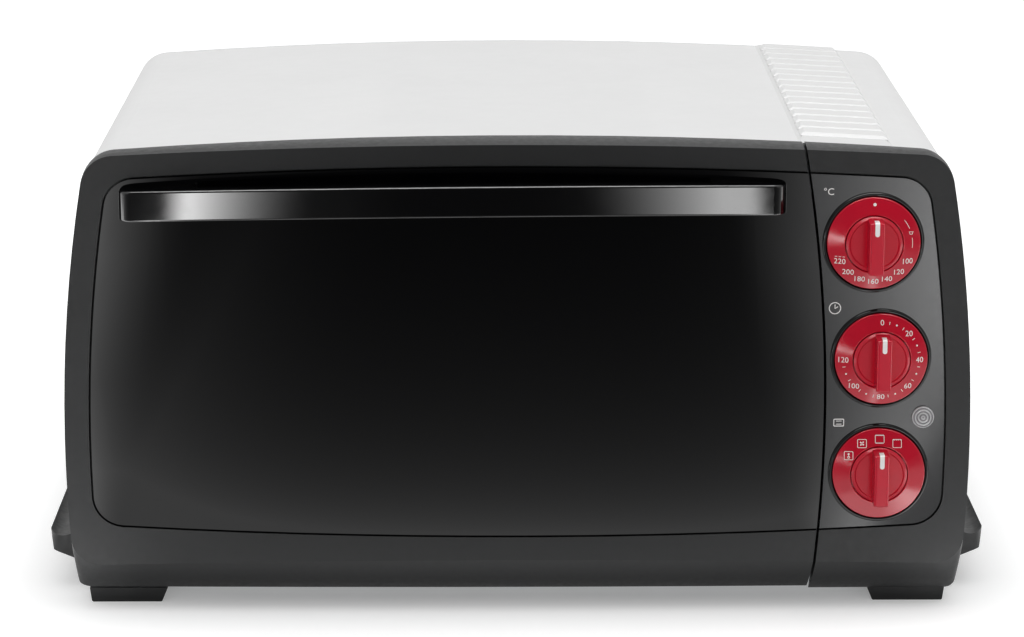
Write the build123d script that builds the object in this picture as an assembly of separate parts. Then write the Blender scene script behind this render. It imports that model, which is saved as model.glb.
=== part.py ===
from build123d import *
from math import asin, cos, degrees, hypot, radians, sin, sqrt, tan
import os

# Countertop mini oven: white steel casing, black moulded front with a drop-down glass door on the
# left and a control panel on the right, three red dials and a bowed bar handle.
# Millimetres. +X is to the viewer's right, +Y goes away from the viewer, +Z is up.
# Everything is drawn with y = 0 at the front edge of the casing and z = 0 at the worktop.
# At the end it is moved as a whole, so that the origin lies under the middle of the object.

# Fits and gaps
SLIP = 0.1            # between a loose piece and the pocket, slot or hole that takes it
RUNNING_FIT = 0.05    # radial, between a turning shaft and its hole
SLIDE_GAP = 0.3       # under a rack or tray on its guides
FREE_GAP = 0.4        # between a knob and the dial ring round it
OVERCUT = 1.0         # how far a cut runs on past a face, and a joined piece runs in

# Front moulding: one shape, split into the door frame and the panel frame
FRONT_HALF_WIDTH = 222.7
SKIRT_BOTTOM = 7.2
FRONT_DEPTH = 18.0
PLAN_BOW_RADIUS = 4600.0
SIDE_BOW_RADIUS = 754.0
WIDEST_Z = 88.0
CROWN_RADIUS = 2850.0
TOP_CORNER = 17.0
BOTTOM_CORNER = 5.0
SKIRT_MID_DEPTH = 10.0
SKIRT_MID_RISE = 7.8
SKIRT_MID_ARCH = 6000.0
SKIRT_MID_CORNER = 14.0
SKIRT_FRONT_RISE = 36.8
SKIRT_FRONT_ARCH = 2500.0
SKIRT_FRONT_CORNER = 18.0
FLAT_ARCH = 60000.0
FRONT_OVERSHOOT = 6.0
TOP_ROLL = 4.6
TOP_ROLL_CROWN = 2300.0
SIDE_ROLL = 1.1
MOULDING_WALL = 3.0
REAR_RECESS = 6.0
HOLLOW_RISE = 17.6      # from the skirt's edge to the hollow behind
DOOR_HEEL = 4.0

# Glass and facia, let into the front and meeting at the split
INSET_BAND = 12.1
INSET_TOP_BAND = 11.8
INSET_SOLE_Z = 39.1
INSET_ARCH = 4200.0
INSET_CORNER = 16.0
GROOVE = 1.0
GLASS_THICKNESS = 3.0
GLASS_BED = 0.2
SPLIT_GAP = 1.3
PANEL_WIDTH_TOP = 84.5
PANEL_WIDTH_MIDDLE = 72.0
PANEL_WIDTH_BOTTOM = 77.9
SPLIT_MIDDLE_Z = 106.0

# Casing and base
CASING_DEPTH = 300.0
CASING_STEP = 0.8
SHEET = 1.0
BASE_SHEET = 1.2
CASING_SOLE_Z = 14.0
SOLE_FLANGE = 10.0
REAR_FLANGE = 10.0
DOOR_SWEEP_CLEARANCE = 0.5
PAD_WIDTH = 46.0
PAD_SIDE_SPACE = 39.7
PAD_RISE = 2.0
PAD_SLOPE = 2.5
PAD_RAMP = 7.0
LOUVRE_COUNT = 16
LOUVRE_END_MARGIN = 10.0
LOUVRE_SIDE_MARGIN = 1.5
LOUVRE_RUN = 13.0
LOUVRE_RISE = 1.8
LOUVRE_LIP_RUN = 2.0
LOUVRE_LIP_RISE = 1.4
LOUVRE_END_SLOPE = 2.0
LOUVRE_THROAT = 9.0
LOUVRE_ROOT = 0.5
BASE_SIDE_SPACE = 8.7
BASE_FLANGE_INSET = 6.0
BASE_SLOT_COUNT = 9
BASE_SLOT_LENGTH = 46.0
BASE_SLOT_WIDTH = 4.0
BASE_SLOT_PITCH = 26.0
BASE_SLOT_ROW_SPREAD = 55.0

# Feet and side grips
FOOT_HEIGHT = SKIRT_BOTTOM
FOOT_WIDTH = 39.0
FOOT_TAPER = 3.0
FRONT_FOOT_Y = 2.5
FOOT_LENGTH = 30.0
REAR_FOOT_INSET = 14.0
FOOT_SCREW_RADIUS = 1.8
FOOT_SCREW_RECESS = 3.2
FOOT_EDGE = 1.0
GRIP_STANDOFF = 14.1
GRIP_START = 28.0
GRIP_TOP = 30.0
GRIP_ROOT_TOP = 33.0
GRIP_TIP_HEIGHT = 10.5
GRIP_TIP_SLOPE = 1.4
GRIP_ROOT_BOTTOM = 11.0
GRIP_DISH = 3.0
GRIP_END_RADIUS = 4.0

# Cavity
CAVITY_LEFT_SPACE = 44.7
CAVITY_RIGHT_SPACE = 96.7
CAVITY_FLOOR = 42.5
CAVITY_HEIGHT = 177.0
REAR_SPACE = 37.0
TOP_SPACE = 18.0
CAVITY_CORNER = 6.0
FRAME_SHEET = 1.2
GUIDE_WIDTH = 6.0
GUIDE_THICKNESS = 2.0
GUIDE_START = 12.0
GUIDE_END_MARGIN = 14.0
RACK_LEVEL = 62.0
TRAY_LEVEL = 38.0

# Rack and trays
RACK_SIDE_PLAY = 1.2
RACK_FRONT = 13.0
RACK_REAR_SPACE = 39.0
RIM_WIRE = 2.2
CROSS_WIRE = 1.4
CROSS_WIRE_COUNT = 15
RACK_CORNER = 14.0
TRAY_REAR_SPACE = 41.0
TRAY_DEPTH = 16.0
TRAY_DRAFT = 6.0
TRAY_SHEET = 1.0
TRAY_RIM = 7.0
CRUMB_REAR_SPACE = 27.0
CRUMB_HEIGHT = 5.0
CRUMB_PLAY = 8.0
TRAY_CORNER = 12.0
CRUMB_DRAFT = 1.0

# Heating elements
ELEMENT_RADIUS = 3.25
ELEMENT_FRONT = 52.0
ELEMENT_SPREAD = 140.0
ELEMENT_BEND = 22.0
ELEMENT_LEFT_MARGIN = 16.0
ELEMENT_TAIL = 14.0
UPPER_ELEMENT_DROP = 11.0
LOWER_ELEMENT_RISE = 15.0
INSULATOR_RADIUS = 6.5
INSULATOR_LENGTH = 9.0
ELEMENT_HOLE_GAP = 0.8
TERMINAL_RADIUS = 1.5
TERMINAL_LENGTH = 7.0
CLIP_WIDTH = 8.0
CLIP_SHEET = 1.2

# Fan
FAN_TIP_GAP = 16.0
FAN_BLADE_COUNT = 7
FAN_BLADE_PITCH = 24.0
FAN_BLADE_WIDTH = 24.0
FAN_SHEET = 1.0
FAN_HUB_RADIUS = 9.0
FAN_HUB_LENGTH = 10.0
FAN_SHAFT_RADIUS = 2.5
GUARD_MARGIN = 14.5
GUARD_DEPTH = 20.0
GUARD_SHEET = 1.0
GUARD_LIP = 7.0
GUARD_SLOT_COUNT = 24
GUARD_SLOT_WIDTH = 5.0
GUARD_SLOT_START = 26.0
GUARD_SLOT_LENGTH = 34.0
MOTOR_WIDTH = 60.0
MOTOR_HEIGHT = 50.0
MOTOR_STACK = 14.0
MOTOR_STANDOFF = 6.0
MOTOR_BEARING_RADIUS = 9.0
MOTOR_BEARING_LENGTH = 5.0
MOTOR_POST_RADIUS = 3.0
WALL_VENT_COUNT = 12
WALL_VENT_RADIUS = 4.0
WALL_VENT_RING = 50.0

# Rear cover
COVER_SHEET = 1.2
BULGE_WIDTH = 190.0
BULGE_HEIGHT = 130.0
BULGE_DEPTH = 12.0
BULGE_CORNER = 14.0
BULGE_SLOT_COUNT = 9
BULGE_SLOT_WIDTH = 5.0
BULGE_SLOT_LENGTH = 70.0
BULGE_SLOT_PITCH = 18.0
SCREW_FOOT_MARGIN = 55.0
SCREW_TOP_MARGIN = 42.5
REAR_SCREW_RADIUS = 1.8
SCREW_HEAD_RADIUS = 3.6
SCREW_HEAD_HEIGHT = 2.2
SCREW_GRIP = 5.0
GLAND_SIDE_SPACE = 54.7
GLAND_Z = 48.0
GLAND_RADIUS = 9.0
GLAND_REACH = 24.0
GLAND_TIP_RADIUS = 5.5
GLAND_BORE = 3.6
GLAND_NECK = 7.0
GLAND_COLLAR = 2.0
GLAND_FLANGE = 3.0

# Door
DOOR_REAR_GAP = 0.6
WINDOW_SIDE_MARGIN = 6.0
WINDOW_LOW_MARGIN = 10.5
WINDOW_HIGH_MARGIN = 22.5
WINDOW_CORNER = 12.0
WINDOW_RIM = 5.0
INNER_PANEL_SHEET = 1.0
INNER_PANEL_SETBACK = 1.3
INNER_GLASS_THICKNESS = 3.0
INNER_GLASS_LAP = 5.0
SEAL_WIDTH = 5.0
SEAL_GAP = 0.3
HINGE_Y = -6.0
HINGE_Z = 21.8
HINGE_LEFT_SPACE = 32.2
HINGE_RIGHT_SPACE = 84.7
PIN_RADIUS = 1.6
PIN_LENGTH = 11.0
PIN_BOSS = 3.0
BRACKET_SHEET = 2.0
BRACKET_EYE = 3.6
BRACKET_TOP = 54.0
BRACKET_TAB = 9.0
BRACKET_FLANGE = 6.0
POCKET_WIDTH = 7.0
POCKET_DEPTH = 4.2
POCKET_TOP = 60.0
SPRING_WIRE = 0.4
SPRING_RADIUS = 2.4
SPRING_PITCH = 0.95
SPRING_TURNS = 1.5
STAY_SIDE_SPACE = 21.7
STAY_INNER = 31.0
STAY_WIDTH = 5.0
STAY_SHEET = 1.6
STAY_TAIL_ANGLE = -9.0
STAY_FOOT_WIDTH = 8.0
STAY_FOOT_HEIGHT = 14.0
STAY_SLOT_PLAY = 0.5

# Handle
HANDLE_LEFT_SPACE = 30.0
HANDLE_RIGHT_SPACE = 93.0
HANDLE_REACH = 40.0
HANDLE_BOW_RADIUS = 860.0
HANDLE_DROP = 17.8
HANDLE_HEIGHT = 15.1
HANDLE_CROWN = 3500.0
HANDLE_THICKNESS = 8.0
HANDLE_LEFT_BLOCK = 36.0
HANDLE_RIGHT_BLOCK = 35.0
HANDLE_END_RADIUS = 8.0
HANDLE_GAP_RADIUS = 2.5
HANDLE_TOP_EDGE = 1.1
HANDLE_SCREW_RADIUS = 2.0
HANDLE_SCREW_BITE = 8.0
HANDLE_SCREW_HEAD = 3.8

# Controls
DIAL_SIDE_SPACE = {"thermostat": 27.3, "timer": 22.4, "selector": 22.4}
DIAL_SHARE = {"thermostat": 0.7926, "timer": 0.4823, "selector": 0.1720}  # of the facia's height
DIAL_RADIUS = 22.7
DIAL_PROUD = 2.0
DIAL_CONE = 2.8
DIAL_FLOOR = 1.8
DIAL_SEAT_DEPTH = 3.4
WELL_RING_WIDTH = 2.0
WELL_RING_HEIGHT = 1.4
WELL_RING_EDGE = 0.9
KNOB_RADIUS = 13.7
KNOB_RIM = 0.6
KNOB_FACE_DISH = 0.5
KNOB_BEVEL = 1.0
BAR_WIDTH = 7.2
BAR_PROUD = 12.0
BAR_EDGE = 1.2
POINTER_WIDTH = 2.2
POINTER_LENGTH = 6.8
POINTER_RETURN = 5.0
POINTER_DEPTH = 1.2
POINTER_PROUD = 0.2
SHAFT_RADIUS = 3.0
SHAFT_TAIL = 6.0
SHAFT_IN_KNOB = 9.0
BUSH_RADIUS = 5.0
BUSH_LENGTH = 9.0
NUT_ACROSS = 13.0
NUT_THICKNESS = 2.5
BRACKET_SETBACK = 22.0
CONTROL_WIDTH = 62.0
CONTROL_SIDE_SPACE = 17.7
CONTROL_BOTTOM = 44.0
CONTROL_TOP_MARGIN = 25.5
CONTROL_SHEET = 1.2
BODY_WIDTH = {"thermostat": 34.0, "timer": 42.0, "selector": 38.0}
BODY_HEIGHT = {"thermostat": 28.0, "timer": 42.0, "selector": 34.0}
BODY_CORNER = {"thermostat": 3.0, "timer": 20.0, "selector": 3.0}
BODY_DEPTH = {"thermostat": 18.0, "timer": 24.0, "selector": 26.0}
TAB_WIDTH = 0.8
TAB_HEIGHT = 6.3
TAB_LENGTH = 8.0
TAB_PITCH = 9.0
LENS_SIDE_SPACE = 23.7
LENS_SHARE = 0.3221    # of the facia's height
LENS_RADIUS = 5.45
LENS_DOME = 1.3
LENS_STEM_RADIUS = 3.6
LENS_STEM = 7.0
LAMP_RADIUS = 2.6
LAMP_LENGTH = 12.0
LAMP_POCKET = 5.0
BULB_RADIUS = 2.4
BULB_LENGTH = 70.0
BULB_Z_DROP = 22.0
BULB_Y = 150.0
BULB_WALL_GAP = 3.0
CAPILLARY_BEND = 8.0
CAPILLARY_LEAD = 22.0
CAPILLARY_OUT = 37.0
CAPILLARY_RADIUS = 0.8
BLOCK_WIDTH = 30.0
BLOCK_DEPTH = 18.0
BLOCK_HEIGHT = 16.0
BLOCK_SETBACK = 12.0
BLOCK_WAYS = 3
BLOCK_SCREW_RADIUS = 2.0
BLOCK_SCREW_DEPTH = 6.0

# Places worked out from the sizes above
OVERSIZE = 20.0
FRONT_TOP = CAVITY_FLOOR + CAVITY_HEIGHT + TOP_SPACE
SPLIT_TOP_X = FRONT_HALF_WIDTH - PANEL_WIDTH_TOP
SPLIT_MIDDLE_X = FRONT_HALF_WIDTH - PANEL_WIDTH_MIDDLE
SPLIT_BOTTOM_X = FRONT_HALF_WIDTH - PANEL_WIDTH_BOTTOM
CASING_HALF_WIDTH = FRONT_HALF_WIDTH - CASING_STEP
CASING_TOP = FRONT_TOP - CASING_STEP
PAD_RIGHT = FRONT_HALF_WIDTH - PAD_SIDE_SPACE
PAD_LEFT = PAD_RIGHT - PAD_WIDTH
BASE_HALF_WIDTH = FRONT_HALF_WIDTH - BASE_SIDE_SPACE
FOOT_OUTER = BASE_HALF_WIDTH
CAVITY_LEFT = CAVITY_LEFT_SPACE - FRONT_HALF_WIDTH
CAVITY_RIGHT = FRONT_HALF_WIDTH - CAVITY_RIGHT_SPACE
CAVITY_WIDTH = CAVITY_RIGHT - CAVITY_LEFT
CAVITY_TOP = CAVITY_FLOOR + CAVITY_HEIGHT
CAVITY_MIDDLE_X = CAVITY_LEFT + CAVITY_WIDTH / 2
CAVITY_DEPTH = CASING_DEPTH - REAR_SPACE
RACK_LENGTH = CAVITY_DEPTH - RACK_REAR_SPACE
TRAY_LENGTH = CAVITY_DEPTH - TRAY_REAR_SPACE
CRUMB_LENGTH = CAVITY_DEPTH - CRUMB_REAR_SPACE
FAN_X = CAVITY_MIDDLE_X
FAN_Z = CAVITY_FLOOR + CAVITY_HEIGHT / 2
GUARD_RADIUS = CAVITY_HEIGHT / 2 - GUARD_MARGIN
FAN_RADIUS = GUARD_RADIUS - FAN_TIP_GAP
WINDOW_LEFT = CAVITY_LEFT + WINDOW_SIDE_MARGIN
WINDOW_RIGHT = CAVITY_RIGHT - WINDOW_SIDE_MARGIN
WINDOW_BOTTOM = CAVITY_FLOOR + WINDOW_LOW_MARGIN
WINDOW_TOP = CAVITY_TOP - WINDOW_HIGH_MARGIN
LINER_FRONT = FRAME_SHEET
LINER_REAR = LINER_FRONT + CAVITY_DEPTH
GLAND_X = FRONT_HALF_WIDTH - GLAND_SIDE_SPACE
HINGE_LEFT_X = HINGE_LEFT_SPACE - FRONT_HALF_WIDTH
HINGE_RIGHT_X = FRONT_HALF_WIDTH - HINGE_RIGHT_SPACE
STAY_X = STAY_SIDE_SPACE - FRONT_HALF_WIDTH
HANDLE_LEFT = HANDLE_LEFT_SPACE - FRONT_HALF_WIDTH
HANDLE_RIGHT = FRONT_HALF_WIDTH - HANDLE_RIGHT_SPACE
HANDLE_MIDDLE_X = (HANDLE_LEFT + HANDLE_RIGHT) / 2
CONTROL_RIGHT = FRONT_HALF_WIDTH - CONTROL_SIDE_SPACE
CONTROL_LEFT = CONTROL_RIGHT - CONTROL_WIDTH
LENS_X = FRONT_HALF_WIDTH - LENS_SIDE_SPACE
DIAL_X = {name: FRONT_HALF_WIDTH - DIAL_RADIUS - space for name, space in DIAL_SIDE_SPACE.items()}
DOOR_REAR = -DOOR_REAR_GAP
INNER_PANEL_REAR = DOOR_REAR - INNER_PANEL_SETBACK
INNER_PANEL_FRONT = INNER_PANEL_REAR - INNER_PANEL_SHEET
RECESS_FLOOR = DOOR_REAR - REAR_RECESS
HEEL_UPPER = hypot(DOOR_REAR - HINGE_Y, HINGE_Z - SKIRT_BOTTOM - DOOR_HEEL)
HEEL_LOWER = hypot(DOOR_REAR - DOOR_HEEL - HINGE_Y, HINGE_Z - SKIRT_BOTTOM)
SWEEP_RADIUS = max(HEEL_UPPER, HEEL_LOWER) + DOOR_SWEEP_CLEARANCE
APRON_FRONT = HINGE_Y + SWEEP_RADIUS
SILL_Z = HINGE_Z + SWEEP_RADIUS
BASE_TOP = SKIRT_BOTTOM + BASE_SHEET
INSET_HALF_WIDTH = FRONT_HALF_WIDTH - INSET_BAND
INSET_TOP = FRONT_TOP - INSET_TOP_BAND
HANDLE_TOP = FRONT_TOP - HANDLE_DROP
CONTROL_TOP = FRONT_TOP - CONTROL_TOP_MARGIN
FACIA_HEIGHT = INSET_TOP - INSET_SOLE_Z
DIAL_Z = {name: INSET_SOLE_Z + FACIA_HEIGHT * share for name, share in DIAL_SHARE.items()}
LENS_Z = INSET_SOLE_Z + FACIA_HEIGHT * LENS_SHARE
GRIP_REACH = CASING_HALF_WIDTH + GRIP_STANDOFF
GRIP_LENGTH = CASING_DEPTH - 2 * GRIP_START
INSET_POCKET = GLASS_THICKNESS + GLASS_BED
BAR_REACH = KNOB_RADIUS - KNOB_BEVEL / 2
BRACKET_REAR = BRACKET_SETBACK + CONTROL_SHEET
REAR_REACH = CASING_DEPTH + COVER_SHEET + GLAND_REACH
ORIGIN_SHIFT = (HANDLE_REACH - REAR_REACH) / 2


def solid_xz(sketch, y_front, y_back):
    """Solid of an outline drawn in X and Z, from y_front back to y_back."""
    return Pos(0, y_back, 0) * extrude(Plane.XZ * sketch, amount=y_back - y_front)


def solid_xy(sketch, z_low, z_high):
    """Solid of an outline drawn in X and Y, from z_low up to z_high."""
    return Pos(0, 0, z_low) * extrude(sketch, amount=z_high - z_low)


def solid_yz(sketch, x_low, x_high):
    """Solid of an outline drawn in Y and Z, from x_low to x_high."""
    return Pos(x_low, 0, 0) * extrude(Plane.YZ * sketch, amount=x_high - x_low)


def block(x0, x1, y0, y1, z0, z1):
    """Box between two corners."""
    return Pos((x0 + x1) / 2, (y0 + y1) / 2, (z0 + z1) / 2) * Box(x1 - x0, y1 - y0, z1 - z0)


def panel(x0, x1, z0, z1, corner):
    """Rounded rectangle in X and Z."""
    return Pos((x0 + x1) / 2, (z0 + z1) / 2) * RectangleRounded(x1 - x0, z1 - z0, corner)


def rod_y(x, z, radius, y_front, y_back):
    """Round bar along Y."""
    return Pos(x, (y_front + y_back) / 2, z) * Rot(90, 0, 0) * Cylinder(radius, y_back - y_front)


def rod_x(y, z, radius, x0, x1):
    """Round bar along X."""
    return Pos((x0 + x1) / 2, y, z) * Rot(0, 90, 0) * Cylinder(radius, x1 - x0)


def rod_z(x, y, radius, z0, z1):
    """Round bar along Z."""
    return Pos(x, y, (z0 + z1) / 2) * Cylinder(radius, z1 - z0)


def face_of(points):
    """Face with straight sides through the given points."""
    return make_face(Polyline(*points, close=True))


def turned_y(profile, x, z):
    """Solid turned about a line along Y. The profile holds radius and y."""
    lathe = revolve(Plane.XY * profile, Axis.Y)
    return Pos(x, 0, z) * lathe


def arch_drop(radius, x):
    """How far a circle of this radius has fallen at a distance x from its top."""
    return radius - sqrt(radius**2 - x**2)


def front_y(x):
    """Place of the bowed front face at a distance x from the middle."""
    return arch_drop(PLAN_BOW_RADIUS, x) - FRONT_DEPTH


def outline(half_width, top, bottom, crown, arch, top_corner, bottom_corner):
    """Closed outline of the front: crowned top, bowed sides, arched sole, rounded corners."""
    top_x = bottom_x = half_width
    for _ in range(8):
        top_z = top - arch_drop(crown, top_x)
        top_x = half_width - arch_drop(SIDE_BOW_RADIUS, top_z - WIDEST_Z)
        bottom_z = bottom + arch_drop(arch, bottom_x)
        bottom_x = half_width - arch_drop(SIDE_BOW_RADIUS, bottom_z - WIDEST_Z)
    sides = [
        ThreePointArc((-top_x, top_z), (0, top), (top_x, top_z)),
        ThreePointArc((top_x, top_z), (half_width, WIDEST_Z), (bottom_x, bottom_z)),
        ThreePointArc((bottom_x, bottom_z), (0, bottom), (-bottom_x, bottom_z)),
        ThreePointArc((-bottom_x, bottom_z), (-half_width, WIDEST_Z), (-top_x, top_z)),
    ]
    sheet = make_face(sides)
    upper = sheet.vertices().sort_by(Axis.Y)[2:]
    rounded = fillet(upper, top_corner)
    lower = rounded.vertices().sort_by(Axis.Y)[:2]
    return fillet(lower, bottom_corner)


def casing_outline(inset):
    """Outline of the casing, a little inside that of the front moulding."""
    return outline(
        CASING_HALF_WIDTH - inset,
        CASING_TOP - inset,
        SKIRT_BOTTOM - OVERSIZE / 2 + inset,
        CROWN_RADIUS,
        FLAT_ARCH,
        TOP_CORNER - inset,
        BOTTOM_CORNER,
    )


def inset_outline(inset):
    """Outline of the pocket for glass and facia."""
    return outline(
        INSET_HALF_WIDTH - inset,
        INSET_TOP - inset,
        INSET_SOLE_Z + inset,
        CROWN_RADIUS,
        INSET_ARCH,
        INSET_CORNER - inset,
        INSET_CORNER - inset,
    )


def bowed_slab(front_offset, thickness):
    """Slab with the plan bow of the front. front_offset is measured back from the front face."""
    reach = FRONT_HALF_WIDTH + OVERSIZE
    y0 = -FRONT_DEPTH + front_offset
    y1 = y0 + thickness
    drop = arch_drop(PLAN_BOW_RADIUS, reach)
    sheet = make_face(
        [
            ThreePointArc((-reach, y0 + drop), (0, y0), (reach, y0 + drop)),
            Line((reach, y0 + drop), (reach, y1 + drop)),
            ThreePointArc((reach, y1 + drop), (0, y1), (-reach, y1 + drop)),
            Line((-reach, y1 + drop), (-reach, y0 + drop)),
        ]
    )
    return solid_xy(sheet, -OVERSIZE, FRONT_TOP + OVERSIZE)


def split_side(side):
    """Everything on one side of the split, less half the gap. side is -1 for the door."""
    shift = side * SPLIT_GAP / 2
    far = side * (FRONT_HALF_WIDTH + OVERSIZE)
    low = -OVERSIZE
    high = FRONT_TOP + OVERSIZE
    curve = ThreePointArc(
        (SPLIT_BOTTOM_X + shift, SKIRT_BOTTOM),
        (SPLIT_MIDDLE_X + shift, SPLIT_MIDDLE_Z),
        (SPLIT_TOP_X + shift, FRONT_TOP),
    )
    sheet = make_face(
        [
            curve,
            Line(curve @ 1, (SPLIT_TOP_X + shift, high)),
            Line((SPLIT_TOP_X + shift, high), (far, high)),
            Line((far, high), (far, low)),
            Line((far, low), (SPLIT_BOTTOM_X + shift, low)),
            Line((SPLIT_BOTTOM_X + shift, low), curve @ 0),
        ]
    )
    return solid_xz(sheet, -FRONT_DEPTH - OVERSIZE, OVERSIZE)


def front_moulding():
    """The whole front as one solid: skirted, bowed, with the pocket for glass and facia."""
    rear = outline(
        FRONT_HALF_WIDTH, FRONT_TOP, SKIRT_BOTTOM, CROWN_RADIUS, FLAT_ARCH, TOP_CORNER, BOTTOM_CORNER
    )
    middle = outline(
        FRONT_HALF_WIDTH,
        FRONT_TOP,
        SKIRT_BOTTOM + SKIRT_MID_RISE,
        CROWN_RADIUS,
        SKIRT_MID_ARCH,
        TOP_CORNER,
        SKIRT_MID_CORNER,
    )
    front = outline(
        FRONT_HALF_WIDTH - SIDE_ROLL,
        FRONT_TOP - TOP_ROLL,
        SKIRT_BOTTOM + SKIRT_FRONT_RISE,
        TOP_ROLL_CROWN,
        SKIRT_FRONT_ARCH,
        TOP_CORNER,
        SKIRT_FRONT_CORNER,
    )
    sections = [
        Plane.XZ * rear,
        Plane.XZ.offset(SKIRT_MID_DEPTH) * middle,
        Plane.XZ.offset(FRONT_DEPTH + FRONT_OVERSHOOT) * front,
    ]
    whole = loft(sections)
    bowed = whole & bowed_slab(0, FRONT_DEPTH + OVERSIZE)
    pocket = solid_xz(inset_outline(0), -FRONT_DEPTH - OVERSIZE, 0)
    pocket &= bowed_slab(-OVERSIZE, OVERSIZE + INSET_POCKET)
    return bowed - pocket


def rear_hollow(side):
    """Hollow in the back of a moulding, leaving its outer walls."""
    inner = outline(
        FRONT_HALF_WIDTH - MOULDING_WALL,
        FRONT_TOP - MOULDING_WALL,
        SKIRT_BOTTOM + HOLLOW_RISE,
        CROWN_RADIUS,
        SKIRT_MID_ARCH,
        TOP_CORNER - MOULDING_WALL,
        SKIRT_MID_CORNER,
    )
    hollow = solid_xz(inner, RECESS_FLOOR, OVERSIZE)
    return hollow & (Pos(side * MOULDING_WALL, 0, 0) * split_side(side))


def window_block(grow, y0, y1):
    """Block of the window's outline, grown on every side."""
    sketch = panel(
        WINDOW_LEFT - grow, WINDOW_RIGHT + grow, WINDOW_BOTTOM - grow, WINDOW_TOP + grow, WINDOW_CORNER + grow
    )
    return solid_xz(sketch, y0, y1)


def hinge_pocket(x):
    """Room in the door frame for one hinge eye and its arm."""
    half = POCKET_WIDTH / 2
    eye = rod_x(HINGE_Y, HINGE_Z, POCKET_DEPTH, x - half, x + half)
    rear = block(x - half, x + half, HINGE_Y, OVERSIZE, HINGE_Z - POCKET_DEPTH, POCKET_TOP)
    above = block(x - half, x + half, HINGE_Y - POCKET_DEPTH, HINGE_Y, HINGE_Z, POCKET_TOP)
    return eye + rear + above


def handle_screw_places():
    """X and Z of the two handle screws."""
    left = HANDLE_LEFT + HANDLE_LEFT_BLOCK / 2
    right = HANDLE_RIGHT - HANDLE_RIGHT_BLOCK / 2
    return [(x, HANDLE_TOP - arch_drop(HANDLE_CROWN, x) - HANDLE_HEIGHT / 2) for x in (left, right)]


def make_door_frame(moulding):
    """Left part of the front moulding: a ring round the window, hollow at the back."""
    whole = moulding & split_side(-1)
    reach = FRONT_HALF_WIDTH + OVERSIZE
    whole -= block(-reach, reach, DOOR_REAR, OVERSIZE, -OVERSIZE, FRONT_TOP + OVERSIZE)
    heel = face_of(
        [
            (DOOR_REAR - DOOR_HEEL - OVERSIZE, SKIRT_BOTTOM - OVERSIZE),
            (DOOR_REAR + OVERSIZE, SKIRT_BOTTOM + DOOR_HEEL + OVERSIZE),
            (DOOR_REAR + OVERSIZE, SKIRT_BOTTOM - OVERSIZE),
        ]
    )
    whole -= solid_yz(heel, -reach, reach)
    rim = window_block(WINDOW_RIM, RECESS_FLOOR - SLIP, INNER_PANEL_FRONT)
    frame = whole - (rear_hollow(-1) - rim)
    for x in (HINGE_LEFT_X, HINGE_RIGHT_X):
        half = PIN_LENGTH / 2 + PIN_BOSS
        low = HINGE_Z - POCKET_DEPTH
        high = HINGE_Z + POCKET_DEPTH
        frame += block(x - half, x + half, HINGE_Y - POCKET_DEPTH, DOOR_REAR, low, high) & whole
    frame -= window_block(0, -FRONT_DEPTH - OVERSIZE, OVERSIZE)
    for x in (HINGE_LEFT_X, HINGE_RIGHT_X):
        frame -= hinge_pocket(x)
        frame -= rod_x(HINGE_Y, HINGE_Z, PIN_RADIUS + SLIP, x - PIN_LENGTH / 2, x + PIN_LENGTH / 2)
    for x, z in handle_screw_places():
        frame -= rod_y(x, z, HANDLE_SCREW_RADIUS + SLIP, -FRONT_DEPTH - OVERSIZE, OVERSIZE)
    return frame


def make_door_glass():
    """Outer glass, let into the door frame and running up to the split."""
    plate = solid_xz(inset_outline(GROOVE), -FRONT_DEPTH - OVERSIZE, 0) & bowed_slab(0, GLASS_THICKNESS)
    plate &= split_side(-1)
    for x, z in handle_screw_places():
        plate -= rod_y(x, z, HANDLE_SCREW_RADIUS + 2 * SLIP, -FRONT_DEPTH - OVERSIZE, 0)
    return plate


def mouth_sketch(grow):
    """Outline of the cavity mouth, grown on every side."""
    corner = CAVITY_CORNER + grow
    return panel(
        CAVITY_LEFT - grow, CAVITY_RIGHT + grow, CAVITY_FLOOR - grow, CAVITY_TOP + grow, corner
    )


def make_door_inner_panel():
    """Steel sheet that closes the door's back, with the window opening."""
    plate = solid_xz(mouth_sketch(SEAL_WIDTH + SLIP), INNER_PANEL_FRONT, INNER_PANEL_REAR)
    return plate - window_block(-INNER_GLASS_LAP, INNER_PANEL_FRONT - OVERSIZE, OVERSIZE)


def make_door_inner_glass():
    """Inner pane, held between the door frame and the inner panel."""
    return window_block(-SLIP, INNER_PANEL_FRONT - INNER_GLASS_THICKNESS, INNER_PANEL_FRONT)


def make_door_seal():
    """Seal on the inner panel, just off the front frame round the mouth."""
    ring = solid_xz(mouth_sketch(SEAL_WIDTH), INNER_PANEL_REAR, -SEAL_GAP)
    return ring - solid_xz(mouth_sketch(0), INNER_PANEL_REAR - OVERSIZE, OVERSIZE)


def handle_arc(setback, x0, x1):
    """Arc of the handle's plan bow between two places along X."""
    middle = (x0 + x1) / 2
    points = [
        (x, arch_drop(HANDLE_BOW_RADIUS - setback, x - HANDLE_MIDDLE_X) - HANDLE_REACH + setback)
        for x in (x0, middle, x1)
    ]
    return ThreePointArc(*points)


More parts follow.
